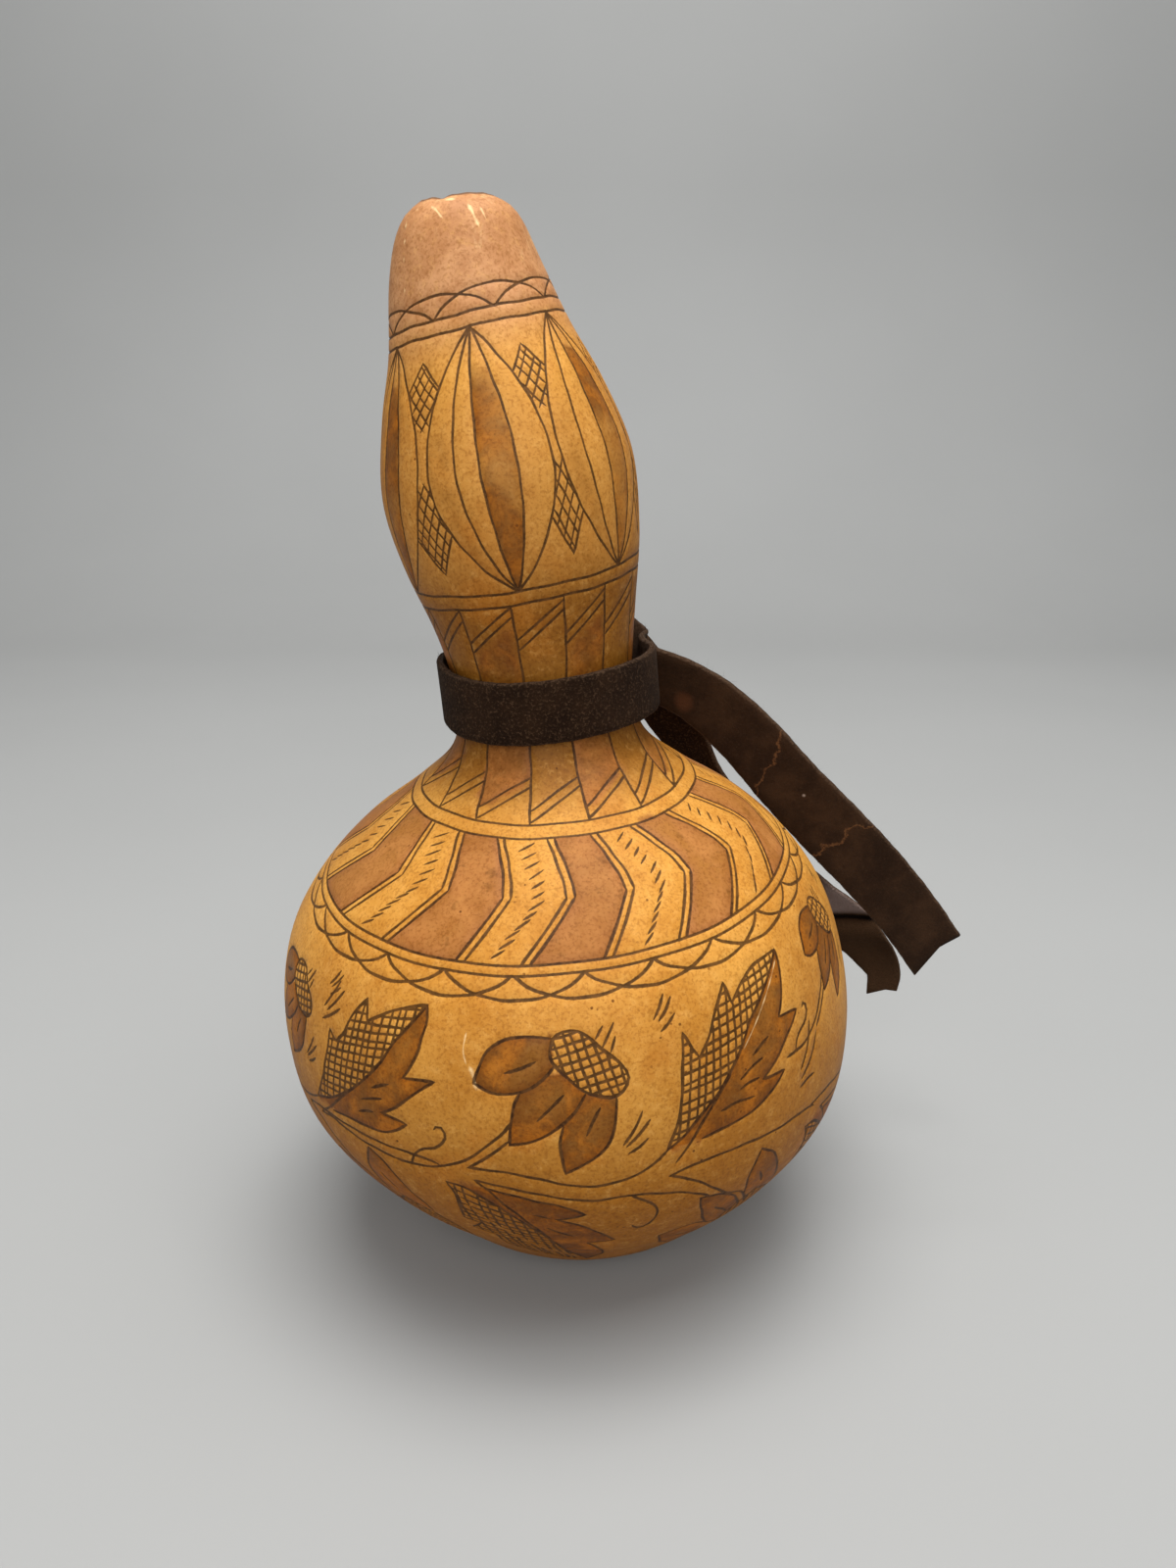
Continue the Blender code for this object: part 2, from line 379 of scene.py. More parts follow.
def lattice(outline, slopes, spacing):
    """Crossed hatching inside an outline, with lines at the two slopes in degrees."""
    outline = np.array(outline, dtype=float)
    middle = outline.mean(axis=0)
    scale = np.array((girth(middle[1]), 1.0))
    flat = (outline - middle) * scale
    reach = np.abs(flat).max() * 1.5
    for slope in slopes:
        along = np.array((math.cos(math.radians(slope)), math.sin(math.radians(slope))))
        across = np.array((-along[1], along[0]))
        offset = -reach + spacing * HAND.uniform(0.2, 0.8)
        while offset < reach:
            tilt = along + across * HAND.uniform(-0.03, 0.03)
            for start, end in clipped(across * offset - tilt * reach, across * offset + tilt * reach, flat):
                if np.linalg.norm(end - start) > 0.9:
                    engrave((start / scale + middle, end / scale + middle), HATCH_LINE)
            offset += spacing * HAND.uniform(0.88, 1.12)


def spread(seen, in_all, turned):
    """Rows seen from the front, rows at even turns round the back, and the first row once more.

    The first values of a row, as many as turned says, are azimuths.
    """
    seen = np.array(seen, dtype=float)
    first_again = seen[0].copy()
    first_again[:turned] += 360.0
    hidden = in_all - len(seen)
    between = [seen[-1] + (first_again - seen[-1]) * k / (hidden + 1) for k in range(1, hidden + 1)]
    return [*seen, *between, first_again]


def draw_scallops(ring, layout):
    """Two rows of arcs that cross, standing on a ring."""
    count, first, height = layout
    turn = 360.0 / count
    for k in range(count):
        start = first + k * turn
        tall = height * HAND.uniform(0.92, 1.08)
        points = []
        for share in np.linspace(0.0, 1.0, 13):
            azimuth = start + 2 * turn * share
            points.append((azimuth, ring_climb(ring, azimuth) + tall * (4 * share * (1 - share)) ** 0.8))
        engrave(points)


def draw_elbows():
    """Bent panels between the neck's foot ring and the shoulder ring, stained and hatched by turns."""
    rows = spread(ELBOWS, ELBOWS_IN_ALL, 3)
    for k, (row, following) in enumerate(zip(rows, rows[1:])):
        left = elbow_line(row, 1)
        right = elbow_line(following, -1)
        for line in (elbow_line(row, -1), left):
            engrave(line[:4])
            engrave(line[3:])
        panel = np.vstack((left, right[::-1]))
        if k % 2 == 0:
            stain(panel)
        else:
            hatch_panel(left, right)


def elbow_line(row, side):
    """One line of a double border, from the top over the bend to the foot."""
    top, bend, foot = row + side * np.array(ELBOW_GAP)
    high = ring_climb(NECK_LOWER, top)
    low = ring_climb(SHOULDER_UPPER, foot)
    knee = low + (high - low) * ELBOW_BEND
    bows = ((0.0, 0.0), (0.4, 0.55), (0.75, 0.9))
    upper = [(top + (bend - top) * bow, high + (knee - high) * t) for t, bow in bows]
    return np.array(upper + [(bend, knee), ((bend + foot) / 2, (knee + low) / 2), (foot, low)])


def hatch_panel(left, right):
    """A column of short slanting strokes down the middle of a panel."""
    middle = smooth_curve((left + right) / 2, 4, 2)
    places, _ = even_steps(middle, ELBOW_GAP_ALONG)
    for azimuth, climb in places[1:-1]:
        side = max(0.0, math.sin(math.radians(azimuth)))
        slope = math.radians(HAND.uniform(31.0, 38.0) + 20.0 * side)
        half = HAND.uniform(1.1, 1.5) * (1.0 - 0.25 * side)
        reach = half * math.cos(slope) / girth(climb)
        rise = half * math.sin(slope)
        azimuth += HAND.uniform(-0.25, 0.25) / girth(climb)
        engrave(((azimuth - reach, climb - rise), (azimuth + reach, climb + rise)), HATCH_LINE)


def post_azimuth(row, climb):
    """Where a post of the neck stands at a climb."""
    foot, collar, top = row
    azimuths = (foot, foot + 0.4 * (collar - foot), collar, collar, top)
    return np.interp(climb, POST_CLIMBS, azimuths)


def draw_posts():
    """Posts up the neck with double braces between them, every second panel stained."""
    rows = spread(POSTS, POSTS_IN_ALL, 3)
    for k, (row, following) in enumerate(zip(rows, rows[1:])):
        foot = ring_climb(NECK_UPPER, row[0])
        top = ring_climb(BULB_LOWER, row[2])
        climbs = (foot, foot + 3.5, foot + 8.0, COLLAR_LOW, COLLAR_HIGH, BRACE_FEET[0], top)
        engrave([(post_azimuth(row, climb), climb) for climb in climbs])
        braces = (
            (foot + 0.3, foot + 7.2, 0.5),
            (foot + 2.6, foot + 9.0, 0.7),
            (BRACE_FEET[0], 158.1, 0.0),
            (BRACE_FEET[1], top - 0.4, 0.0),
        )
        for low, high, arch in braces:
            start = post_azimuth(row, low)
            end = post_azimuth(following, high)
            engrave(((start, low), ((start + end) / 2, (low + high) / 2 + arch), (end, high)))
        if k % 2 == 0:
            near = [(post_azimuth(row, climb), climb) for climb in (foot + 2.6, COLLAR_LOW, 141.0)]
            far = [(post_azimuth(following, climb), climb) for climb in (141.0, COLLAR_LOW, foot + 9.0)]
            stain(near + far, 0.9, 0.35)
            near = [(post_azimuth(row, climb), climb) for climb in (140.0, 151.5)]
            far = [(post_azimuth(following, climb), climb) for climb in (157.5, 140.0)]
            stain(near + far, 1.0, 0.8, 1.2)


def pod_side(pod, share):
    """A curve of a pod from its top to its foot, at a share of its reach to one side."""
    top, foot, left, right = pod[:4]
    reach = (right if share > 0 else left) * share
    high = ring_climb(TIP_LOWER, top)
    low = ring_climb(BULB_UPPER, foot)
    points = []
    for t in np.linspace(0.0, 1.0, 15):
        azimuth = top + (foot - top) * t + reach * (4 * t * (1 - t)) ** 0.85
        points.append((azimuth, high + (low - high) * t))
    return np.array(points)


def draw_pods():
    """Pods with ribs round the bulb, and hatched kites between them above and below."""
    shapes = np.array([pod[:4] for pod in PODS])
    rows = spread(shapes, PODS_IN_ALL, 2)
    for k, (row, following) in enumerate(zip(rows, rows[1:])):
        ribs = PODS[k][4] if k < len(PODS) else (-0.52, -0.08, 0.48)
        for share in (-1.0, *ribs, 1.0):
            engrave(pod_side(row, share))
        middle, right = pod_side(row, ribs[1]), pod_side(row, ribs[2])
        stain(np.vstack((middle[2:], right[-2:1:-1])), 1.0, 1.0, 0.5)
        edge, left = pod_side(row, -1.0), pod_side(row, ribs[0])
        stain(np.vstack((edge[5:], left[-2:4:-1])), 0.45, 1.0, 2.0)
        draw_kites(pod_side(row, 1.0), pod_side(following, -1.0))


def draw_kites(left, right):
    """Two hatched kites between the facing sides of two pods."""
    for tip, corner, waist, rough in ((199.8, 195.6, 189.4, 1), (166.6, 172.9, 181.6, -1)):
        climbs = np.linspace(corner, waist, 5)
        near = [(np.interp(-climb, -left[:, 1], left[:, 0]) + 0.4, climb) for climb in climbs]
        far = [(np.interp(-climb, -right[:, 1], right[:, 0]) - 0.4, climb) for climb in climbs]
        middle = (near[0][0] + far[0][0]) / 2
        outline = np.array([(middle, tip), *far, *near[::-1]])
        for corner_place in (outline[1], outline[-1]):
            engrave((outline[0], corner_place))
        scale = girth(corner)
        slope = math.degrees(math.atan2(tip - corner, (middle - near[0][0]) * scale))
        lattice(outline, (slope, 180.0 - slope), KITE_GAP)


# The frieze round the body is drawn from these curves, seen from the front: first the flower
DISC = ((-1.0, 81.4), (0.0, 83.6), (2.9, 84.4), (5.8, 83.4), (8.4, 80.8), (10.8, 78.8), (12.0, 76.6),
        (11.3, 74.8), (9.5, 73.7), (7.2, 73.8), (5.0, 74.6), (2.6, 76.2), (0.6, 78.2), (-0.8, 80.0))
PETALS = (
    ((-0.5, 83.4), (-5.5, 83.7), (-9.0, 83.0), (-11.8, 81.2), (-13.3, 78.4), (-14.3, 75.8)),
    ((-14.3, 75.8), (-12.0, 74.7), (-9.0, 74.4), (-6.0, 75.0), (-3.5, 76.2), (-1.5, 77.8), (-0.2, 79.2)),
    ((-6.5, 74.6), (-7.5, 72.8), (-8.3, 69.6), (-8.8, 65.6)),
    ((-8.8, 65.6), (-6.0, 66.2), (-3.0, 67.4), (0.0, 69.4), (2.5, 71.6), (4.5, 74.4)),
    ((0.4, 69.2), (-0.2, 66.8), (-0.3, 64.8), (0.3, 60.6)),
    ((0.3, 60.6), (3.2, 62.2), (5.8, 63.8), (7.9, 66.0), (8.9, 68.8), (9.5, 72.0), (9.6, 73.6)),
)
PETAL_STAINS = (
    (PETALS[0], PETALS[1]),
    (PETALS[2], PETALS[3], ((4.5, 74.4), (2.6, 76.2), (0.6, 78.2)),
     ((0.6, 78.2), (-1.5, 77.8), (-3.5, 76.2), (-6.5, 74.6))),
    (PETALS[4], PETALS[5], ((9.6, 73.6), (7.2, 73.8), (4.5, 74.4)),
     ((4.5, 74.4), (2.5, 71.6), (0.4, 69.2))),
)
FLOWER_MARKS = (
    ((-8.8, 77.9), (-6.0, 78.7), (-3.5, 79.8)),
    ((-3.8, 70.2), (-1.6, 72.2), (0.8, 74.4)),
    ((4.2, 67.6), (5.3, 69.8), (6.7, 72.0)),
    ((7.1, 82.8), (8.5, 84.6)),
    ((8.2, 81.5), (9.3, 83.1), (10.5, 84.9)),
    ((9.5, 80.6), (10.5, 82.8)),
    ((10.3, 65.4), (12.2, 67.8), (13.8, 70.7)),
    ((10.8, 65.0), (13.0, 66.9), (15.0, 69.1)),
    ((11.2, 63.8), (13.0, 64.7), (14.5, 66.0)),
    ((17.8, 84.4), (19.2, 85.9), (20.4, 87.8)),
    ((18.8, 84.1), (20.4, 85.5), (21.7, 87.2)),
    ((18.9, 82.5), (20.4, 83.4), (21.8, 84.6)),
)
FLOWER_STEM = (
    ((-8.8, 66.4), (-11.5, 64.0), (-14.0, 62.0), (-16.5, 60.2)),
    ((-31.0, 58.0), (-27.5, 58.2), (-24.0, 58.6), (-20.0, 60.0), (-16.0, 62.2), (-13.0, 64.8), (-9.5, 68.0),
     (-8.4, 69.6)),
    ((-27.5, 58.2), (-26.8, 60.0), (-25.0, 61.8), (-22.0, 63.0), (-20.3, 64.8), (-20.0, 66.0),
     (-20.5, 67.1), (-21.5, 67.1), (-22.1, 66.4)),
)
# The leaf to the right of the flower
LEAF = {
    "hatched": (
        ((17.9, 63.2), (19.7, 67.2), (20.8, 70.8), (21.6, 75.2), (22.1, 78.0), (22.7, 81.5)),
        ((22.7, 81.5), (23.4, 80.4), (24.3, 78.2), (25.2, 77.2)),
        ((25.2, 77.2), (27.4, 79.6), (29.5, 82.8), (31.6, 85.4), (32.9, 87.0)),
        ((32.9, 87.0), (33.3, 85.2), (33.7, 83.6)),
        ((33.7, 83.6), (36.3, 85.6), (40.0, 87.4), (44.2, 88.1), (47.9, 88.3)),
    ),
    "rib": ((47.9, 88.3), (44.2, 85.4), (40.0, 82.4), (36.8, 80.0), (33.7, 76.4), (30.5, 73.2),
            (27.4, 70.4), (23.7, 67.6), (21.0, 65.2), (17.9, 63.2)),
    "stained": (
        ((47.9, 88.3), (47.6, 86.0), (46.8, 83.6), (45.3, 80.4), (43.9, 78.6)),
        ((43.9, 78.6), (46.5, 78.4), (49.2, 78.1)),
        ((49.2, 78.1), (47.4, 76.6), (44.7, 74.8), (41.6, 72.4), (37.9, 70.4)),
        ((37.9, 70.4), (40.5, 70.2), (43.4, 70.1)),
        ((43.4, 70.1), (41.0, 68.4), (36.8, 66.4), (33.7, 65.4), (29.5, 64.8), (24.5, 64.0)),
    ),
    "stem": (
        ((31.0, 73.4), (27.6, 70.0), (24.7, 67.0), (22.1, 63.6), (19.5, 60.6)),
        ((17.9, 63.2), (15.8, 61.4), (12.6, 59.6), (8.4, 58.4), (4.2, 58.0), (0.0, 58.5), (-5.0, 59.6),
         (-10.5, 60.4), (-16.5, 60.2)),
    ),
    "marks": (
        ((36.3, 74.8), (38.3, 75.8), (40.3, 76.5)),
        ((32.9, 71.8), (35.5, 73.0), (38.2, 73.7)),
        ((32.6, 70.2), (34.8, 70.9), (36.9, 70.9)),
        ((28.4, 67.8), (32.0, 68.4), (35.5, 68.2)),
        ((48.3, 68.4), (50.8, 71.3), (52.6, 75.0)),
        ((48.4, 66.7), (51.8, 69.2), (54.5, 72.5)),
        ((48.0, 65.4), (50.4, 66.0), (52.6, 66.0)),
    ),
    "slopes": (9.0, 80.0),
}
# The leaf to its left
OTHER_LEAF = {
    "hatched": (
        ((-51.9, 61.8), (-50.0, 64.8), (-48.3, 68.0), (-47.3, 71.2), (-46.3, 74.8), (-45.9, 78.0)),
        ((-45.9, 78.0), (-44.8, 77.0), (-43.8, 76.6)),
        ((-43.8, 76.6), (-42.0, 78.4), (-40.0, 82.4), (-36.8, 86.2)),
        ((-36.8, 86.2), (-36.4, 84.2), (-36.1, 82.4)),
        ((-36.1, 82.4), (-34.0, 83.6), (-30.0, 85.6), (-26.0, 86.9), (-23.3, 87.5)),
    ),
    "rib": ((-23.3, 87.5), (-26.5, 83.8), (-29.5, 80.4), (-32.5, 76.0), (-36.5, 71.6), (-40.0, 68.4),
            (-44.0, 65.6), (-47.0, 63.8), (-51.9, 61.8)),
    "stained": (
        ((-23.3, 87.5), (-23.1, 84.8), (-23.8, 82.4), (-25.0, 78.8), (-26.8, 75.6), (-27.8, 74.4)),
        ((-27.8, 74.4), (-24.5, 74.9), (-21.5, 75.0)),
        ((-21.5, 75.0), (-23.5, 73.6), (-26.5, 71.2), (-30.0, 68.2), (-32.8, 66.6)),
        ((-32.8, 66.6), (-30.0, 66.4), (-27.5, 65.9)),
        ((-27.5, 65.9), (-30.0, 64.0), (-33.5, 62.6), (-38.0, 62.3), (-43.0, 62.0), (-46.5, 61.4)),
    ),
    "stem": (
        ((-40.5, 68.0), (-44.0, 64.8), (-47.0, 62.0), (-51.5, 58.6)),
        ((-51.9, 61.8), (-55.0, 60.2), (-60.0, 58.6), (-66.0, 58.0), (-73.0, 58.8), (-80.0, 60.2)),
        ((-51.5, 58.6), (-47.0, 59.4), (-43.0, 59.0), (-38.0, 58.4), (-31.0, 58.0)),
    ),
    "marks": (
        ((-34.5, 70.8), (-32.6, 71.8), (-30.8, 72.5)),
        ((-37.3, 67.6), (-35.0, 68.6), (-32.5, 69.3)),
        ((-38.3, 64.8), (-36.5, 65.6), (-34.8, 66.0)),
        ((-48.5, 81.6), (-46.6, 84.2), (-45.0, 87.1)),
        ((-47.4, 81.1), (-45.2, 83.3), (-43.3, 85.8)),
        ((-48.5, 79.2), (-45.9, 80.7), (-43.6, 82.5)),
    ),
    "slopes": (9.0, 80.0),
}
# The leaf that hangs under the vine
LOW_LEAF = {
    "hatched": (
        ((-21.1, 56.2), (-20.0, 54.0), (-19.7, 50.4), (-20.2, 46.0)),
        ((-20.2, 46.0), (-18.4, 45.4), (-16.9, 45.2)),
        ((-16.9, 45.2), (-18.2, 43.4), (-20.0, 41.6)),
        ((-20.0, 41.6), (-17.6, 40.6), (-15.6, 40.0)),
        ((-15.6, 40.0), (-14.8, 34.0), (-11.0, 28.0), (-3.0, 22.5), (4.0, 20.0)),
    ),
    "rib": ((-21.1, 56.2), (-18.1, 55.8), (-14.4, 54.0), (-11.3, 51.6), (-7.5, 47.2), (-5.0, 43.2),
            (-2.5, 37.6), (-0.5, 31.0), (1.8, 25.0), (4.0, 20.0)),
    "stained": (
        ((-13.8, 56.4), (-10.0, 55.8), (-5.0, 54.6), (-0.6, 53.5), (1.9, 52.4), (3.4, 51.3)),
        ((3.4, 51.3), (0.8, 50.3), (-1.9, 49.9)),
        ((-1.9, 49.9), (1.9, 48.2), (5.0, 45.6), (7.5, 42.8), (9.7, 40.0)),
        ((9.7, 40.0), (6.3, 39.4), (3.8, 39.0)),
        ((3.8, 39.0), (5.6, 36.4), (6.9, 33.6), (8.1, 28.0), (4.0, 20.0)),
    ),
    "stem": (
        ((-15.6, 57.8), (-13.8, 56.4), (-11.3, 53.6), (-8.8, 50.8), (-6.3, 46.8), (-3.8, 41.6)),
        ((-15.6, 57.8), (-11.3, 57.4), (-6.3, 56.6), (0.0, 55.4), (5.0, 54.9), (11.3, 55.4),
         (16.3, 54.9), (21.3, 54.0), (25.0, 52.4), (27.2, 51.0)),
        ((11.6, 55.3), (14.4, 53.6), (16.3, 51.6), (16.9, 50.0), (16.6, 48.0), (15.6, 46.0),
         (13.8, 45.0), (12.5, 46.4)),
    ),
    "marks": (
        ((-5.8, 50.9), (-4.6, 50.6), (-3.0, 50.0)),
        ((-3.8, 46.5), (-1.8, 45.0), (0.8, 43.0)),
    ),
    "slopes": (-84.0, -24.0),
}
# The flower that hangs under the vine
LOW_FLOWER_STEM = (
    ((18.4, 58.2), (21.9, 56.8), (25.0, 55.0), (28.1, 52.8), (31.3, 50.2), (35.6, 48.2), (37.5, 46.4),
     (39.5, 43.5), (42.0, 40.5)),
    ((18.4, 58.2), (21.3, 59.0), (25.0, 59.7), (31.3, 60.1), (40.0, 60.1), (50.0, 60.2), (53.5, 59.6)),
)
LOW_PETALS = (
    ((37.5, 46.6), (36.6, 49.6), (36.1, 52.4), (36.9, 55.2), (38.0, 57.7)),
    ((38.0, 57.7), (41.3, 55.6), (43.8, 52.4), (45.0, 50.0), (46.6, 47.6), (47.5, 44.0)),
    ((25.3, 51.2), (25.9, 49.2), (27.5, 45.6), (29.4, 41.6), (31.9, 38.0), (36.0, 35.5)),
    ((25.3, 51.2), (27.5, 50.8), (30.6, 50.2), (34.5, 47.5), (38.5, 42.0)),
    ((19.9, 38.4), (23.1, 39.6), (26.9, 40.1), (29.4, 39.6), (31.9, 38.0)),
    ((19.9, 38.4), (21.3, 34.4), (23.8, 30.4), (28.0, 27.5), (36.0, 28.5)),
)
LOW_DISC = ((41.0, 45.5), (47.0, 43.0), (51.0, 37.0), (50.0, 31.0), (45.0, 28.0), (39.0, 30.0),
            (36.5, 36.0), (38.0, 42.0))
LOW_FLOWER_MARKS = (
    ((39.1, 52.0), (40.2, 50.2), (41.3, 48.4)),
    ((30.6, 45.6), (33.8, 42.8), (36.5, 40.0)),
    ((25.0, 35.5), (28.5, 34.0), (32.0, 33.5)),
)


# The azimuth where the flower's stem leaves the vine, and the climb that small motifs shrink towards
STEM_FOOT = -16.5
SHRINK_CLIMB = 84.0


def shifted(curve, place):
    """A curve moved to its place, a (start, scale, new start, rise). A small one is also lower."""
    start, scale, new_start, rise = place
    tall = min(1.0, scale)
    moved = []
    for azimuth, climb in curve:
        level = SHRINK_CLIMB + (climb - SHRINK_CLIMB) * tall + rise
        moved.append((new_start + (azimuth - start) * scale, level))
    return moved


def draw_motif(place, curves):
    """Outline curves and short marks, moved round the gourd to their place."""
    for curve in curves:
        engrave(shifted(curve, place), THIN_LINE)


def joined(arcs, place):
    """Arcs that follow one another, as one outline at its place."""
    return np.vstack([smooth_curve(shifted(arc, place), 3, 2)[:-1] for arc in arcs])


def draw_flower(place):
    """A cone flower with three drooping petals on its stem, and strokes beside it."""
    disc = smooth_curve(shifted(DISC + DISC[:1], place), 3, 2)
    engrave(disc, THIN_LINE)
    lattice(disc[:-1], (14.0, 103.0), LATTICE_GAP)
    draw_motif(place, PETALS + FLOWER_STEM + FLOWER_MARKS)
    for arcs in PETAL_STAINS:
        stain(joined(arcs, place), 1.0, 1.0)


def draw_leaf(place, leaf):
    """A leaf with one half hatched and the other stained."""
    rib = leaf["rib"]
    draw_motif(place, (rib, *leaf["hatched"], *leaf["stained"], *leaf["stem"], *leaf["marks"]))
    lattice(joined((*leaf["hatched"], rib), place), leaf["slopes"], LATTICE_GAP)
    stain(joined((*leaf["stained"], rib[::-1]), place), 1.0, 1.0)


def draw_low_flower(place):
    """The flower of the lower row, that hangs under the vine."""
    disc = smooth_curve(shifted(LOW_DISC + LOW_DISC[:1], place), 3, 2)
    engrave(disc, THIN_LINE)
    lattice(disc[:-1], (20.0, 110.0), LATTICE_GAP)
    draw_motif(place, LOW_PETALS + LOW_FLOWER_STEM + LOW_FLOWER_MARKS)
    for first in (0, 2, 4):
        near, far = (smooth_curve(shifted(curve, place), 3, 2) for curve in LOW_PETALS[first:first + 2])
        # The first petal's two sides follow one another, the others' start at one tip
        stain(np.vstack((near if first == 0 else near[::-1], far)), 0.8, 1.0)


def draw_frieze():
    """Flowers and leaves by turns on a vine round the body, with a second row hanging below it."""
    same = (0.0, 1.0, 0.0, 0.0)
    draw_flower(same)
    for leaf in (LEAF, OTHER_LEAF, LOW_LEAF):
        draw_leaf(same, leaf)
    draw_low_flower(same)
    draw_low_flower((0.0, 1.0, -75.5, 0.0))
    draw_flower((STEM_FOOT, 0.72, 55.0, 6.5))
    draw_flower((STEM_FOOT, 0.85, 282.8, 1.5))
    for corner in (52.0, 127.3, 202.7):
        large = (STEM_FOOT, 1.1, corner, 0.0)
        if corner > 90.0:
            draw_flower(large)
        draw_leaf(large, LEAF)
        hanging = (STEM_FOOT, 1.0, corner + 4.0, 0.0)
        draw_leaf(hanging, LOW_LEAF)
        draw_low_flower(hanging)


# Worn marks beside the flower, along the leaf's rib, round the rim's notch and down the tip
SCUFFS = (
    (((-15.4, 84.2), (-16.0, 81.0), (-15.4, 78.6)), 0.35),
    (((-15.0, 78.8), (-14.4, 77.4), (-13.9, 74.6)), 0.75),
    (((47.2, 87.0), (43.0, 83.6), (38.5, 79.8), (34.0, 76.0)), 0.3),
    (((-9.0, 225.2), (-4.0, 224.7), (5.0, 224.4)), 1.1),
    (((-24.0, 223.6), (-16.0, 222.4), (-8.0, 220.6)), 0.5),
    (((15.0, 223.2), (18.0, 221.2), (21.0, 218.6)), 0.7),
    (((26.0, 222.6), (29.0, 219.6)), 0.4),
    (((-52.2, 221.8), (-50.0, 220.2)), 0.6),
    (((-47.8, 219.2), (-46.8, 217.8)), 0.6),
    (((-46.2, 216.4), (-45.6, 215.2)), 0.6),
    (((-44.6, 211.8), (-44.2, 210.6)), 0.5),
)


def draw_pattern():
    """The whole engraved pattern, from the tip down."""
    rings = (TIP_UPPER, TIP_LOWER, BULB_UPPER, BULB_LOWER, NECK_UPPER, NECK_LOWER)
    for ring in (*rings, SHOULDER_UPPER, SHOULDER_LOWER):
        engrave_ring(ring)
    draw_scallops(TIP_UPPER, TIP_SCALLOPS)
    draw_pods()
    draw_posts()
    draw_elbows()
    draw_scallops(SHOULDER_LOWER, SHOULDER_SCALLOPS)
    draw_frieze()
    for points, width in SCUFFS:
        scuff(points, width)


def stroke_tree(lines):
    """A search tree of places along every line, with the half width there in millimetres."""
    places = []
    widths = []
    for points, half in lines:
        steps = np.linspace(0, len(points) - 1, 5 * (len(points) - 1) + 1)
        given = np.arange(len(points))
        places.append(np.column_stack([np.interp(steps, given, points[:, axis]) for axis in (0, 1)]))
        widths.append(np.interp(steps, given, half))
    places = np.vstack(places)
    widths = np.concatenate(widths)
    spots = skin_points(places[:, 0], places[:, 1])
    tree = kdtree.KDTree(len(spots))
    for k, spot in enumerate(spots):
        tree.insert(spot, k)
    tree.balance()
    return tree, widths


def cut_amounts(spots, tree, widths):
    """How deep each spot lies in a groove, from 0 on the skin to 1 at a groove's bottom."""
    amounts = np.zeros(len(spots))
    reach = widths.max() / 1000
    for k, spot in enumerate(spots):
        near = tree.find_range(spot, reach)
        if near:
            amounts[k] = max(widths[found] - 1000 * distance for _, found, distance in near)
    return np.clip(amounts / FULL_CUT, 0.0, 1.0)


def stroke_edges(stroke):
    """A stroke's left, middle and right lines as places, and how they join."""
    places, half = stroke
    scale = np.column_stack((girth(places[:, 1]), np.ones(len(places))))
    along = np.gradient(places, axis=0) * scale
    along /= np.linalg.norm(along, axis=1)[:, None]
    across = np.column_stack((-along[:, 1], along[:, 0])) * half[:, None] / scale
    for end in (0, -1):
        if abs(abs(places[end, 0]) - 180.0) < 1e-6:
            across[end] = (0.0, half[end] * (1.0 if along[end, 0] > 0 else -1.0))
    lines = (places, places + across, places - across)
    return [np.clip(line, (-180.0, 0.0), (180.0, TOP_CLIMB)) for line in lines]


def triangulate(low_ring, high_ring):
    """The skin between two rings as places and triangles, with every groove's lines as edges."""
    middle_climb = (ring_climb(low_ring, 0.0) + ring_climb(high_ring, 0.0)) / 2
    scale = girth(middle_climb)
    points = []
    edges = []

    def add_line(line):
        first = len(points)
        points.extend((azimuth * scale, climb) for azimuth, climb in line)
        edges.extend((first + k, first + k + 1) for k in range(len(line) - 1))

    for ring in (low_ring, high_ring):
        azimuth = np.linspace(-180.0, 180.0, AROUND + 1)
        add_line(np.column_stack((azimuth, ring_climb(ring, azimuth))))
    seam_low, seam_high = ring_climb(low_ring, 180.0), ring_climb(high_ring, 180.0)
    seam = np.linspace(seam_low, seam_high, round((seam_high - seam_low) / GRID) + 1)
    for azimuth in (-180.0, 180.0):
        add_line([(azimuth, climb) for climb in seam])
    for stroke in strokes + scuffs:
        azimuth, climb = stroke[0][len(stroke[0]) // 2]
        if ring_climb(low_ring, azimuth) < climb < ring_climb(high_ring, azimuth):
            for line in stroke_edges(stroke):
                add_line(line)
    grid = plain_grid(low_ring, high_ring)
    points.extend((azimuth * scale, climb) for azimuth, climb in grid)
    found = geometry.delaunay_2d_cdt([Vector(point) for point in points], edges, [], 0, 1e-3, False)
    places = np.array([(x / scale, y) for x, y in found[0]])
    on_seam = np.abs(places[:, 0]) > 180.0 - 1e-3
    triangles = []
    for triangle in found[2]:
        azimuth, climb = places[list(triangle)].mean(axis=0)
        between = ring_climb(low_ring, azimuth) < climb < ring_climb(high_ring, azimuth)
        if between and not on_seam[list(triangle)].all():
            triangles.append(triangle)
    return places, triangles


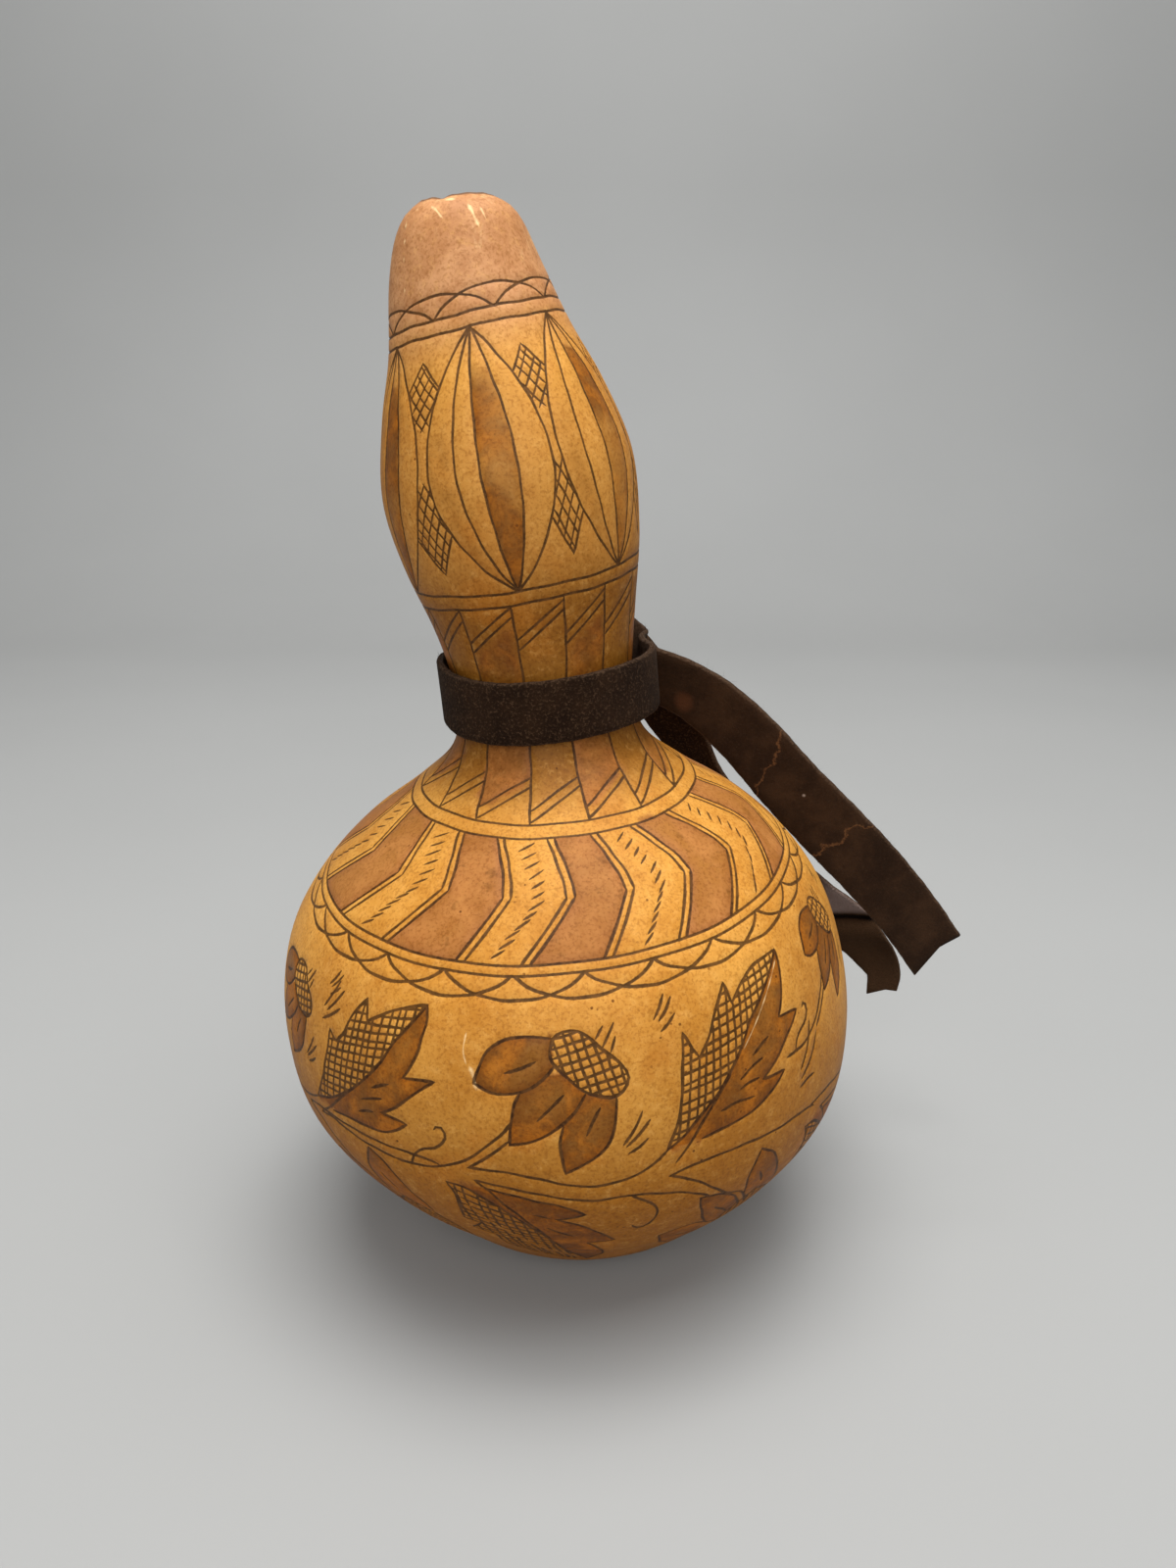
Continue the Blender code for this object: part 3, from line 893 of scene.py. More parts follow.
def plain_grid(low_ring, high_ring):
    """Places spread over the skin between two rings, clear of every groove."""
    lowest = min(ring_climb(low_ring, 0.0), ring_climb(low_ring, 180.0))
    highest = max(ring_climb(high_ring, 0.0), ring_climb(high_ring, 180.0))
    places = []
    for row, climb in enumerate(np.arange(lowest + GRID / 2, highest, GRID)):
        count = round(360.0 * girth(climb) / GRID)
        azimuth = -180.0 + 360.0 * (np.arange(count) + 0.25 + 0.5 * (row % 2)) / count
        above = climb > ring_climb(low_ring, azimuth) + RING_CLEAR
        inside = above & (climb < ring_climb(high_ring, azimuth) - RING_CLEAR)
        places.extend((turn, climb) for turn in azimuth[inside])
    places = np.array(places)
    spots = skin_points(places[:, 0], places[:, 1])
    clear = [GROOVES[0].find(spot)[2] > GROOVE_CLEAR / 1000 for spot in spots]
    return places[np.array(clear)]


def stain_amounts(places):
    """The strength and the tone of the stains at places on the skin."""
    strength = np.zeros(len(places))
    tone = np.zeros(len(places))
    for outline, amount, kind, fade in stains:
        low, high = outline.min(axis=0), outline.max(axis=0)
        near = np.where(((places > low) & (places < high)).all(axis=1))[0]
        if not len(near):
            continue
        scale = np.array((girth((low[1] + high[1]) / 2), 1.0))
        spots = places[near] * scale
        starts = outline * scale
        sides = np.roll(starts, -1, axis=0) - starts
        inside = np.zeros(len(near), dtype=bool)
        distance = np.full(len(near), 99.0)
        for start, side in zip(starts, sides):
            away = spots - start
            share = np.clip((away @ side) / max(side @ side, 1e-9), 0.0, 1.0)
            distance = np.minimum(distance, np.linalg.norm(away - share[:, None] * side, axis=1))
            if abs(side[1]) > 1e-9:
                crosses = (start[1] > spots[:, 1]) != (start[1] + side[1] > spots[:, 1])
                inside ^= crosses & (away[:, 0] < away[:, 1] / side[1] * side[0])
        inside |= distance < STAIN_OVERLAP
        soft = np.clip((distance + STAIN_OVERLAP) / fade, 0.0, 1.0)
        pooled = EDGE_POOL * np.exp(-distance / POOL_WIDTH) + 1.0 - EDGE_POOL
        found = np.where(inside, amount * soft * pooled, 0.0)
        stronger = found > strength[near]
        strength[near[stronger]] = found[stronger]
        tone[near[stronger]] = kind
    return strength, tone


def inner_rings():
    """Rings over the lip and down the inside, as radius and level."""
    outer = smooth_curve(OUTLINE, 2, 2)
    slope = np.gradient(outer, axis=0)
    slope /= np.linalg.norm(slope, axis=1)[:, None]
    top = HEIGHT - MOUTH_DEPTH
    points = [
        (MOUTH_RADIUS + LIP_ROUND, HEIGHT),
        (MOUTH_RADIUS + 0.3 * LIP_ROUND, HEIGHT - 0.3 * LIP_ROUND),
        (MOUTH_RADIUS, HEIGHT - LIP_ROUND),
        (MOUTH_RADIUS, top),
        (MOUTH_RADIUS + LIP_ROUND, top - LIP_ROUND),
    ]
    for (radius, level), (rise_r, rise_z) in list(zip(outer, slope))[::-2]:
        wall = np.interp(level, WALL_LEVELS, WALL_THICKNESS)
        inside = (radius - wall * rise_z, level + wall * rise_r)
        if inside[1] < points[-1][1] - 2 * LIP_ROUND and inside[1] > WALL_THICKNESS[0]:
            points.append(inside)
    points.append((BASE_RADIUS, WALL_THICKNESS[0]))
    return points


def chip(azimuth, share):
    """How far the rim is worn down at an azimuth, in metres, with a notch in its front."""
    angle = np.radians(azimuth)
    notch = NOTCH_DEPTH * np.exp(-((azimuth - NOTCH_AZIMUTH) / NOTCH_WIDTH) ** 2)
    broad = 0.00008 * (1 + np.sin(3 * angle + 2.6))
    return share * (notch + broad + 0.00004 * (1 + np.sin(13 * angle)))


def build_skin():
    """The gourd: engraved skin, lip, inside and base in one mesh."""
    places, faces = [], []
    rings = ((0.0, 0.0, 0.0), NECK_SEAM, BULB_SEAM, (TOP_CLIMB, 0.0, 0.0))
    for low_ring, high_ring in zip(rings, rings[1:]):
        found, triangles = triangulate(low_ring, high_ring)
        first = len(places)
        places.extend(found)
        faces.extend(tuple(first + k for k in triangle) for triangle in triangles)
    places = np.array(places)
    places[:, 1] = np.clip(places[:, 1], 0.0, TOP_CLIMB)
    smooth_spots = skin_points(places[:, 0], places[:, 1])
    cut = cut_amounts(smooth_spots, *GROOVES)
    worn = cut_amounts(smooth_spots, *stroke_tree(scuffs))
    strength, tone = stain_amounts(places)
    out = skin_normals(places[:, 0], np.clip(places[:, 1], 0.25, TOP_CLIMB - 0.25))
    spots = smooth_spots - out * (cut * GROOVE_DEPTH / 1000)[:, None]
    near_rim = np.clip(1 - (TOP_CLIMB - places[:, 1]) / 3.0, 0.0, 1.0)
    spots[:, 2] -= chip(places[:, 0], near_rim**2)
    spots = list(spots)
    values = [cut, worn, strength, tone, places[:, 1]]
    azimuth = np.linspace(-180.0, 180.0, AROUND + 1)[:-1]
    previous = None
    for radius, level in [(OUTER[-1, 0], HEIGHT)] + inner_rings():
        ring = shell_points(np.full(AROUND, radius), np.full(AROUND, level), azimuth)
        share = np.clip(1 - (HEIGHT - level) / 0.002, 0.0, 1.0)
        ring[:, 2] -= chip(azimuth, share)
        first = len(spots)
        spots.extend(ring)
        values = extend_values(values, AROUND, TOP_CLIMB + 10.0 if previous is not None else TOP_CLIMB)
        if previous is not None:
            for k in range(AROUND):
                after = (k + 1) % AROUND
                faces.append((previous + k, previous + after, first + after, first + k))
        previous = first
    faces.append(tuple(previous + k for k in range(AROUND)))
    first = len(spots)
    spots.extend(shell_points(np.full(AROUND, BASE_RADIUS), np.zeros(AROUND), azimuth))
    values = extend_values(values, AROUND, 0.0)
    faces.append(tuple(first + k for k in reversed(range(AROUND))))
    titles = ("cut", "worn", "stain", "tone", "climb")
    return finished_mesh("gourd_skin", spots, faces, dict(zip(titles, values)))


def extend_values(values, count, climb):
    """The attribute values with plain ones added for more points."""
    plain = (0.0, 0.0, 0.0, 0.0, climb)
    return [np.concatenate((old, np.full(count, new))) for old, new in zip(values, plain)]


def finished_mesh(name, spots, faces, attributes, weld=0.00002):
    """An object from places, faces and values at the places, welded and shaded smooth."""
    mesh = bpy.data.meshes.new(name)
    mesh.from_pydata([tuple(spot) for spot in spots], [], faces)
    for title, values in attributes.items():
        layer = mesh.attributes.new(title, "FLOAT", "POINT")
        layer.data.foreach_set("value", np.asarray(values, dtype=np.float32))
    work = bmesh.new()
    work.from_mesh(mesh)
    if weld:
        bmesh.ops.remove_doubles(work, verts=work.verts, dist=weld)
        stray = [face for face in work.faces if sum(edge.is_boundary for edge in face.edges) > 1]
        bmesh.ops.delete(work, geom=stray, context="FACES")
        open_edges = [edge for edge in work.edges if len(edge.link_faces) == 1]
        bmesh.ops.holes_fill(work, edges=open_edges, sides=0)
        loose = [vert for vert in work.verts if not vert.link_faces]
        bmesh.ops.delete(work, geom=loose, context="VERTS")
    bmesh.ops.recalc_face_normals(work, faces=work.faces)
    work.to_mesh(mesh)
    work.free()
    mesh.shade_smooth()
    made = bpy.data.objects.new(name, mesh)
    bpy.context.scene.collection.objects.link(made)
    return made


class Graph:
    """The nodes of one material, made from left to right."""

    def __init__(self, name):
        self.material = bpy.data.materials.new(name)
        self.material.use_nodes = True
        self.tree = self.material.node_tree
        self.shader = self.tree.nodes["Principled BSDF"]
        self.place = self.add("ShaderNodeTexCoord").outputs["Object"]

    def add(self, kind, **settings):
        """A node with its settings."""
        made = self.tree.nodes.new(kind)
        for title, value in settings.items():
            setattr(made, title, value)
        return made

    def feed(self, socket, value):
        """A link or a plain value into a socket."""
        if isinstance(value, bpy.types.NodeSocket):
            self.tree.links.new(value, socket)
        elif isinstance(value, tuple):
            socket.default_value = (*value, 1.0) if len(value) == 3 and socket.type == "RGBA" else value
        else:
            socket.default_value = value

    def attribute(self, title):
        """A value stored at the mesh's points."""
        return self.add("ShaderNodeAttribute", attribute_name=title).outputs["Fac"]

    def noise(self, scale, detail, roughness=0.55, stretch=None, distortion=0.0):
        """Fractal noise in object space, with scale in lumps for each metre."""
        made = self.add("ShaderNodeTexNoise")
        place = self.place
        if stretch:
            mapping = self.add("ShaderNodeMapping")
            self.feed(mapping.inputs["Vector"], place)
            mapping.inputs["Scale"].default_value = stretch
            place = mapping.outputs["Vector"]
        self.feed(made.inputs["Vector"], place)
        titles = ("Scale", "Detail", "Roughness", "Distortion")
        for title, value in zip(titles, (scale, detail, roughness, distortion)):
            made.inputs[title].default_value = value
        return made.outputs["Fac"]

    def spots(self, scale):
        """The distance to the nearest of many scattered points."""
        made = self.add("ShaderNodeTexVoronoi")
        self.feed(made.inputs["Vector"], self.place)
        made.inputs["Scale"].default_value = scale
        return made.outputs["Distance"]

    def math(self, operation, first, second=0.0):
        """Arithmetic on two values."""
        made = self.add("ShaderNodeMath", operation=operation)
        self.feed(made.inputs[0], first)
        self.feed(made.inputs[1], second)
        return made.outputs[0]

    def times(self, first, second):
        """The product of two values."""
        return self.math("MULTIPLY", first, second)

    def minus(self, first, second):
        """The difference of two values."""
        return self.math("SUBTRACT", first, second)

    def size(self, value):
        """A value without its sign."""
        return self.math("ABSOLUTE", value)

    def step(self, value, low, high, floor=0.0, ceiling=1.0):
        """A soft step of a value between low and high."""
        made = self.add("ShaderNodeMapRange", interpolation_type="SMOOTHSTEP")
        titles = ("Value", "From Min", "From Max", "To Min", "To Max")
        for title, given in zip(titles, (value, low, high, floor, ceiling)):
            self.feed(made.inputs[title], given)
        return made.outputs["Result"]

    def mix(self, factor, first, second, blend="MIX"):
        """Two colours mixed by a factor."""
        made = self.add("ShaderNodeMix", data_type="RGBA", blend_type=blend)
        for title, value in ((0, factor), (6, first), (7, second)):
            self.feed(made.inputs[title], value)
        return made.outputs[2]

    def mix_value(self, factor, first, second):
        """Two numbers mixed by a factor."""
        made = self.add("ShaderNodeMix", data_type="FLOAT")
        for title, value in ((0, factor), (2, first), (3, second)):
            self.feed(made.inputs[title], value)
        return made.outputs[0]

    def darken(self, colour, factor, filter_colour):
        """A colour multiplied by a filter's colour, by a factor."""
        return self.mix(factor, colour, filter_colour, "MULTIPLY")

    def bump(self, height, strength, distance, before=None):
        """A normal from a height."""
        made = self.add("ShaderNodeBump")
        made.inputs["Strength"].default_value = strength
        made.inputs["Distance"].default_value = distance
        self.feed(made.inputs["Height"], height)
        if before is not None:
            self.feed(made.inputs["Normal"], before)
        return made.outputs["Normal"]

    def finish(self, colour, roughness, normal):
        """The shader's linked values."""
        self.feed(self.shader.inputs["Base Color"], colour)
        self.feed(self.shader.inputs["Roughness"], roughness)
        self.feed(self.shader.inputs["Normal"], normal)
        return self.material


def gourd_material():
    """Golden polished shell with brown stains, dark grooves and a paler, unpolished tip."""
    g = Graph("gourd_shell")
    broad = g.noise(34.0, 4.0, 0.6)
    patch = g.noise(75.0, 3.0, 0.55)
    mottle = g.noise(150.0, 5.0, 0.65, distortion=0.6)
    grain = g.noise(620.0, 4.0, 0.7)
    fine = g.noise(1900.0, 2.0, 0.6)
    climb = g.attribute("climb")
    ground = g.mix(g.step(broad, 0.35, 0.68), (0.45, 0.180, 0.022), (0.62, 0.290, 0.050))
    ground = g.mix(g.times(g.step(mottle, 0.35, 0.75), 0.40), ground, (0.69, 0.35, 0.075))
    # Painted shade: the ground is made darker over the lower half of the body, towards the base, where less
    # light reaches.
    ground = g.mix(g.step(climb, 84.0, 48.0, 0.0, 0.95), ground, (0.25, 0.084, 0.003))
    # The neck is darker: partly its own deeper tone, partly painted shade under the bulb's overhang.
    neck = g.times(g.step(climb, 119.0, 131.0), g.step(climb, 176.0, 158.0))
    ground = g.mix(g.times(neck, 0.9), ground, (0.20, 0.072, 0.006))
    bulb = g.times(g.step(climb, 158.0, 170.0), g.step(climb, 205.0, 185.0))
    ground = g.mix(g.times(bulb, 0.5), ground, (0.40, 0.165, 0.032))
    warm = g.times(g.step(patch, 0.56, 0.70), 0.45)
    ground = g.mix(warm, ground, (0.40, 0.135, 0.012))
    tip = g.mix(g.step(mottle, 0.35, 0.7), (0.42, 0.185, 0.070), (0.54, 0.265, 0.115))
    ground = g.mix(g.step(climb, 196.0, 209.0), ground, tip)
    streaks = g.noise(210.0, 4.0, 0.7, stretch=(1.0, 1.0, 0.16))
    streak_share = g.times(g.step(streaks, 0.58, 0.70), g.step(climb, 208.0, 217.0))
    ground = g.mix(g.times(streak_share, 0.45), ground, (0.78, 0.50, 0.25))
    pale = g.times(g.step(grain, 0.50, 0.28), 0.20)
    ground = g.mix(pale, ground, (0.82, 0.46, 0.13))
    rose = g.mix(g.step(mottle, 0.3, 0.7), (0.22, 0.072, 0.017), (0.37, 0.142, 0.040))
    amber = g.mix(g.step(mottle, 0.38, 0.68), (0.085, 0.019, 0.001), (0.33, 0.098, 0.004))
    dye = g.mix(g.attribute("tone"), rose, amber)
    blot = g.times(g.step(g.noise(330.0, 3.0, 0.6), 0.58, 0.70), 0.5)
    dye = g.mix(blot, dye, (0.075, 0.018, 0.002))
    thin = g.step(patch, 0.36, 0.56, 0.45, 1.0)
    high = g.step(climb, 122.0, 132.0)
    uneven = g.times(g.step(mottle, 0.30, 0.58, 0.82, 1.0), g.mix_value(high, 1.0, thin))
    colour = g.mix(g.times(g.attribute("stain"), uneven), ground, dye)
    colour = g.darken(colour, g.step(grain, 0.50, 0.75), (0.86, 0.80, 0.70))
    colour = g.darken(colour, g.step(fine, 0.45, 0.68), (0.78, 0.72, 0.62))
    speck = g.times(g.step(g.spots(420.0), 0.13, 0.07), g.step(mottle, 0.50, 0.62))
    colour = g.darken(colour, speck, (0.35, 0.28, 0.20))
    worn = g.times(g.attribute("worn"), g.step(grain, 0.62, 0.42, 0.45, 0.9))
    colour = g.mix(worn, colour, (0.86, 0.60, 0.30))
    burnt = g.mix(g.step(grain, 0.38, 0.62), (0.022, 0.008, 0.002), (0.085, 0.034, 0.008))
    depth = g.math("ADD", g.attribute("cut"), g.times(g.minus(fine, 0.5), 0.3))
    ink = g.step(depth, 0.0, 0.48)
    colour = g.mix(g.times(ink, 0.9), colour, burnt)
    # Painted shade: a dark band along the rim and a dark lip and inside stand in for the shadow in the
    # mouth.
    rim = g.times(g.step(climb, TOP_CLIMB - 1.0, TOP_CLIMB - 0.3), 0.8)
    colour = g.mix(rim, colour, (0.07, 0.032, 0.014))
    inside = g.step(climb, TOP_CLIMB + 2.0, TOP_CLIMB + 6.0)
    colour = g.mix(inside, colour, (0.13, 0.06, 0.025))
    roughness = g.step(mottle, 0.2, 0.8, 0.46, 0.60)
    normal = g.bump(fine, 0.12, 0.0002)
    normal = g.bump(grain, 0.10, 0.0004, normal)
    normal = g.bump(mottle, 0.10, 0.0008, normal)
    g.shader.inputs["Specular IOR Level"].default_value = 0.12
    return g.finish(colour, roughness, normal)


# The strap's middle line from the rear tail's end to the front tail's end.
# Each point is x, y and z, then the direction across the strap, then its width.
def round_neck(degrees, radius, level, width):
    """One point of the strap's route where its width stands upright against the neck."""
    angle = math.radians(degrees)
    x = NECK_AXIS_X + radius * math.cos(angle)
    return (x, radius * math.sin(angle), level, NECK_LEAN, 0.0, 1.0, width)


STRAP_ROUTE = (
    (0.0669, 0.0236, 0.0347, 0.88, -0.15, 0.05, 0.0064),
    (0.0671, 0.0243, 0.0388, 0.85, -0.18, 0.28, 0.0074),
    (0.0644, 0.0252, 0.0434, 0.72, -0.25, 0.55, 0.0094),
    (0.0591, 0.0262, 0.0489, 0.64, -0.28, 0.66, 0.0112),
    (0.0523, 0.0278, 0.0540, 0.52, -0.40, 0.70, 0.0115),
    (0.0460, 0.0302, 0.0597, 0.48, -0.55, 0.60, 0.0115),
    (0.0395, 0.0324, 0.0669, 0.45, -0.70, 0.50, 0.0115),
    (0.0330, 0.0332, 0.0747, 0.42, -0.80, 0.40, 0.0115),
    (0.0272, 0.0320, 0.0820, 0.42, -0.75, 0.42, 0.0115),
    (0.0226, 0.0310, 0.0900, 0.48, -0.55, 0.50, 0.0115),
    (0.0180, 0.0294, 0.0980, 0.58, -0.30, 0.60, 0.0114),
    (0.0126, 0.0280, 0.1060, 0.66, -0.10, 0.68, 0.0114),
    (0.0068, 0.0272, 0.1130, 0.73, 0.0, 0.68, 0.0113),
    (0.0022, 0.0259, 0.1183, 0.75, 0.05, 0.66, 0.0112),
    (0.0004, 0.0230, 0.1206, 0.75, 0.05, 0.66, 0.0112),
    (0.0024, 0.0201, 0.1185, 0.75, 0.0, 0.66, 0.0112),
    (0.0063, 0.0178, 0.1148, 0.72, -0.10, 0.68, 0.0113),
    (0.0104, 0.0136, 0.1119, 0.50, -0.10, 0.85, 0.0114),
    round_neck(25, 0.0202, 0.1109, 0.0112),
    round_neck(3, 0.0202, 0.1106, 0.0111),
    round_neck(-25, 0.0194, 0.1102, 0.0110),
    round_neck(-55, 0.0184, 0.1092, 0.0110),
    round_neck(-85, 0.0180, 0.1081, 0.0110),
    round_neck(-115, 0.0179, 0.1073, 0.0110),
    round_neck(-145, 0.0181, 0.1075, 0.0111),
    round_neck(-175, 0.0183, 0.1084, 0.0112),
    round_neck(155, 0.0184, 0.1086, 0.0113),
    round_neck(130, 0.0186, 0.1083, 0.0114),
    round_neck(110, 0.0196, 0.1078, 0.0115),
    round_neck(92, 0.0209, 0.1074, 0.0116),
    (0.0020, 0.0227, 0.1070, 0.0, 0.0, 1.0, 0.0118),
    (0.0100, 0.0220, 0.1067, 0.12, -0.15, 0.95, 0.0120),
    (0.0180, 0.0189, 0.1054, 0.30, -0.38, 0.90, 0.0123),
    (0.0260, 0.0159, 0.1014, 0.48, -0.38, 0.80, 0.0129),
    (0.0338, 0.0137, 0.0947, 0.60, -0.35, 0.70, 0.0133),
    (0.0417, 0.0124, 0.0860, 0.66, -0.33, 0.66, 0.0137),
    (0.0502, 0.0114, 0.0773, 0.70, -0.30, 0.64, 0.0141),
    (0.0590, 0.0107, 0.0683, 0.74, -0.25, 0.62, 0.0137),
    (0.0672, 0.0101, 0.0589, 0.77, -0.20, 0.60, 0.0129),
    (0.0732, 0.0096, 0.0507, 0.80, -0.15, 0.56, 0.0125),
)
STRAP_STEPS = 16
STRAP_ACROSS = 9

# Places along the strap in millimetres from its rear end, each with its slant or its share across
CREASE = (20.5, -5.5)
COLLAR_END = 139.0
HITCH = 265.0
CRACKS = ((283.6, 2.9), (305.2, -1.2))
RUST_SPOT = (262.3, -0.4)
PALE_SPOT = (293.2, 0.15)

# Heights of the crease's ridge and dip, and how many fibres there are
FOLD_RISE = 0.0012
FOLD_DIP = 0.0009
FIBRES = 2600


def strap_frames():
    """The strap's middle, direction across, outward normal, width and length so far."""
    route = smooth_curve(STRAP_ROUTE, STRAP_STEPS, 3)
    middle = route[:, :3]
    along = np.gradient(middle, axis=0)
    along /= np.linalg.norm(along, axis=1)[:, None]
    across = route[:, 3:6]
    across = across - (across * along).sum(axis=1)[:, None] * along
    across /= np.linalg.norm(across, axis=1)[:, None]
    run = np.concatenate(([0.0], np.cumsum(np.linalg.norm(np.diff(middle, axis=0), axis=1))))
    normal = np.cross(along, across)
    # Both tails are cut off at a slant
    across[0] = across[0] + along[0] * 2 * REAR_END_SLANT / route[0, 6]
    across[-1] = across[-1] - along[-1] * 2 * TAIL_END_SLANT / route[-1, 6]
    return middle, across, normal, route[:, 6], run


def strap_section():
    """The section's outline as shares of width and thickness, with rounded edges."""
    upper = [(share, 1.0) for share in np.linspace(-0.93, 0.93, STRAP_ACROSS)]
    edge = [(0.985, 0.72), (1.0, 0.0), (0.985, -0.72)]
    lower = [(-share, -1.0) for share, _ in upper]
    other_edge = [(-0.985, -0.72), (-1.0, 0.0), (-0.985, 0.72)]
    return upper + edge + lower + other_edge


def build_strap():
    """The suede strap with rounded, slightly uneven edges."""
    section = strap_section()
    spots, along_values, across_values, side_values, faces = [], [], [], [], []
    frames = list(zip(*strap_frames()))
    for middle, across, normal, width, run in frames:
        uneven = 1.0 + 0.006 * math.sin(run * 900) + 0.005 * math.sin(run * 2300 + 1)
        for wide, thick in section:
            past = run * 1000 - CREASE[0] - CREASE[1] * wide
            ridge = FOLD_RISE * math.exp(-(past / 1.2) ** 2)
            fold = ridge - FOLD_DIP * math.exp(-((past + 4.5) / 3.0) ** 2)
            lift = normal * (thick * STRAP_THICKNESS / 2 + fold)
            spots.append(middle + across * wide * width / 2 * uneven + lift)
            along_values.append(run * 1000)
            across_values.append(wide)
            side_values.append(thick)
    count = len(section)
    for row in range(len(frames) - 1):
        for k in range(count):
            after = (k + 1) % count
            here, beyond = row * count, (row + 1) * count
            faces.append((here + k, here + after, beyond + after, beyond + k))
    last = (len(frames) - 1) * count
    faces.append(tuple(range(count)))
    faces.append(tuple(last + k for k in reversed(range(count))))
    values = {"along": along_values, "across": across_values, "side": side_values}
    return finished_mesh("suede_strap", spots, faces, values, weld=0.0)


def build_fibres():
    """Loose fibres along the strap's cut edges, thickest near the hitch."""
    middle, across, normal, width, run = strap_frames()
    spots, faces = [], []
    for _ in range(FIBRES):
        k = HAND.randrange(2, len(run) - 2)
        hitch = math.exp(-((run[k] * 1000 - HITCH) / 30.0) ** 2)
        side = HAND.choice((-1, 1))
        length = 0.0003 + 0.0011 * HAND.random() ** 4 * (0.5 + hitch)
        root = middle[k] + across[k] * side * width[k] / 2 * 0.985
        root = root + normal[k] * HAND.uniform(-0.8, 0.8) * STRAP_THICKNESS / 2
        away = across[k] * side + normal[k] * HAND.uniform(-0.6, 0.6)
        way = middle[k + 1] - middle[k - 1]
        lean = way / np.linalg.norm(way) * HAND.uniform(-0.9, 0.9)
        away = (away + lean) / np.linalg.norm(away + lean)
        bend = np.array([HAND.uniform(-1, 1) for _ in range(3)]) * 0.4
        thick = normal[k] * 0.00003
        first = len(spots)
        for share, size in ((0.0, 1.0), (0.55, 0.7)):
            place = root + (away + bend * share) * length * share
            spots.extend((place - thick * size, place + thick * size))
        spots.append(root + (away + bend) * length)
        faces.extend(((first, first + 1, first + 3, first + 2), (first + 2, first + 3, first + 4)))
    return finished_mesh("suede_fibres", spots, faces, {}, weld=0.0)


def suede_material():
    """Dark brown suede: a rough flesh side with pale nap and a smoother side with cracks."""
    g = Graph("suede")
    nap = g.noise(2100.0, 3.0, 0.75)
    patches = g.noise(160.0, 4.0, 0.6)
    fine = g.noise(700.0, 4.0, 0.7)
    along = g.attribute("along")
    across = g.attribute("across")
    flesh = g.step(g.attribute("side"), 0.3, -0.3)
    smooth_side = g.mix(g.step(patches, 0.3, 0.75), (0.020, 0.0085, 0.0034), (0.044, 0.020, 0.0085))
    smooth_side = g.mix(g.times(g.step(nap, 0.5, 0.8), 0.4), smooth_side, (0.070, 0.038, 0.020))
    smooth_side = g.mix(g.times(g.step(fine, 0.55, 0.7), 0.35), smooth_side, (0.010, 0.004, 0.002))
    for middle, slant in CRACKS:
        bend = g.math("ADD", g.times(across, slant), g.times(g.minus(patches, 0.5), 9.0))
        away = g.size(g.math("ADD", g.minus(along, middle), bend))
        share = g.times(g.step(away, 0.45, 0.05), g.step(nap, 0.35, 0.55, 0.1, 0.6))
        smooth_side = g.mix(share, smooth_side, (0.20, 0.085, 0.032))
    spots = (
        (RUST_SPOT, 3.0, (0.11, 0.040, 0.016)),
        (PALE_SPOT, 0.45, (0.42, 0.33, 0.27)),
    )
    for (there, wide), size, colour in spots:
        off = g.times(g.minus(across, wide), 6.5)
        past = g.math("POWER", g.minus(along, there), 2.0)
        far = g.math("SQRT", g.math("ADD", past, g.times(off, off)))
        smooth_side = g.mix(g.times(g.step(far, size, size * 0.3), 0.6), smooth_side, colour)
    rough_side = g.mix(g.step(patches, 0.3, 0.7), (0.010, 0.0038, 0.0013), (0.021, 0.0090, 0.0034))
    speckle = g.times(g.step(nap, 0.50, 0.68), 0.55)
    rough_side = g.mix(speckle, rough_side, (0.095, 0.054, 0.029))
    rough_side = g.mix(g.step(along, 24.0, 18.0, 0.0, 0.85), rough_side, (0.042, 0.0200, 0.0085))
    past = g.minus(g.minus(along, CREASE[0]), g.times(across, CREASE[1]))
    # Painted sheen: a pale grey-mauve patch above the crease stands in for light catching the strap's
    # upward face.
    painted_sheen = g.times(g.step(past, 0.8, 3.0), g.step(past, 16.0, 9.0))
    rough_side = g.mix(g.times(painted_sheen, 0.85), rough_side, (0.230, 0.170, 0.150))
    # Painted shade: a near-black line along the crease of the fold.
    rough_side = g.mix(g.step(g.size(past), 1.0, 0.3), rough_side, (0.004, 0.002, 0.001))
    colour = g.mix(flesh, smooth_side, rough_side)
    fuzzy = g.times(g.step(g.size(g.minus(along, COLLAR_END)), 9.0, 1.0), 0.4)
    colour = g.mix(g.times(fuzzy, g.step(fine, 0.35, 0.6)), colour, (0.120, 0.085, 0.062))
    edge = g.times(g.step(g.size(across), 0.90, 1.0), g.step(nap, 0.35, 0.60))
    colour = g.mix(g.times(edge, 0.7), colour, (0.085, 0.048, 0.027))
    roughness = g.math("ADD", g.times(flesh, 0.25), 0.65)
    normal = g.bump(nap, 0.80, 0.0005)
    normal = g.bump(fine, 0.40, 0.0006, normal)
    g.shader.inputs["Specular IOR Level"].default_value = 0.08
    g.shader.inputs["Sheen Weight"].default_value = 0.02
    g.shader.inputs["Sheen Roughness"].default_value = 0.55
    g.shader.inputs["Sheen Tint"].default_value = (0.75, 0.58, 0.45, 1.0)
    return g.finish(colour, roughness, normal)


def floor_material():
    """Plain pale matt floor."""
    g = Graph("floor")
    soft = g.noise(6.0, 2.0)
    colour = g.mix(soft, (0.315, 0.315, 0.307), (0.342, 0.342, 0.333))
    return g.finish(colour, 0.7, g.bump(soft, 0.02, 0.001))


# The stage and the camera, fitted to the photograph
FLOOR_BACK = 0.60
FLOOR_FRONT = -1.2
FLOOR_SIDE = 1.6
SWEEP = 0.35
WALL_TOP = 1.8
CAMERA_PLACE = (0.002, -0.211, 0.1563)
CAMERA_PITCH = 17.5
FOCAL_SHARE = 1202.0 / 1600.0
SENSOR = 36.0


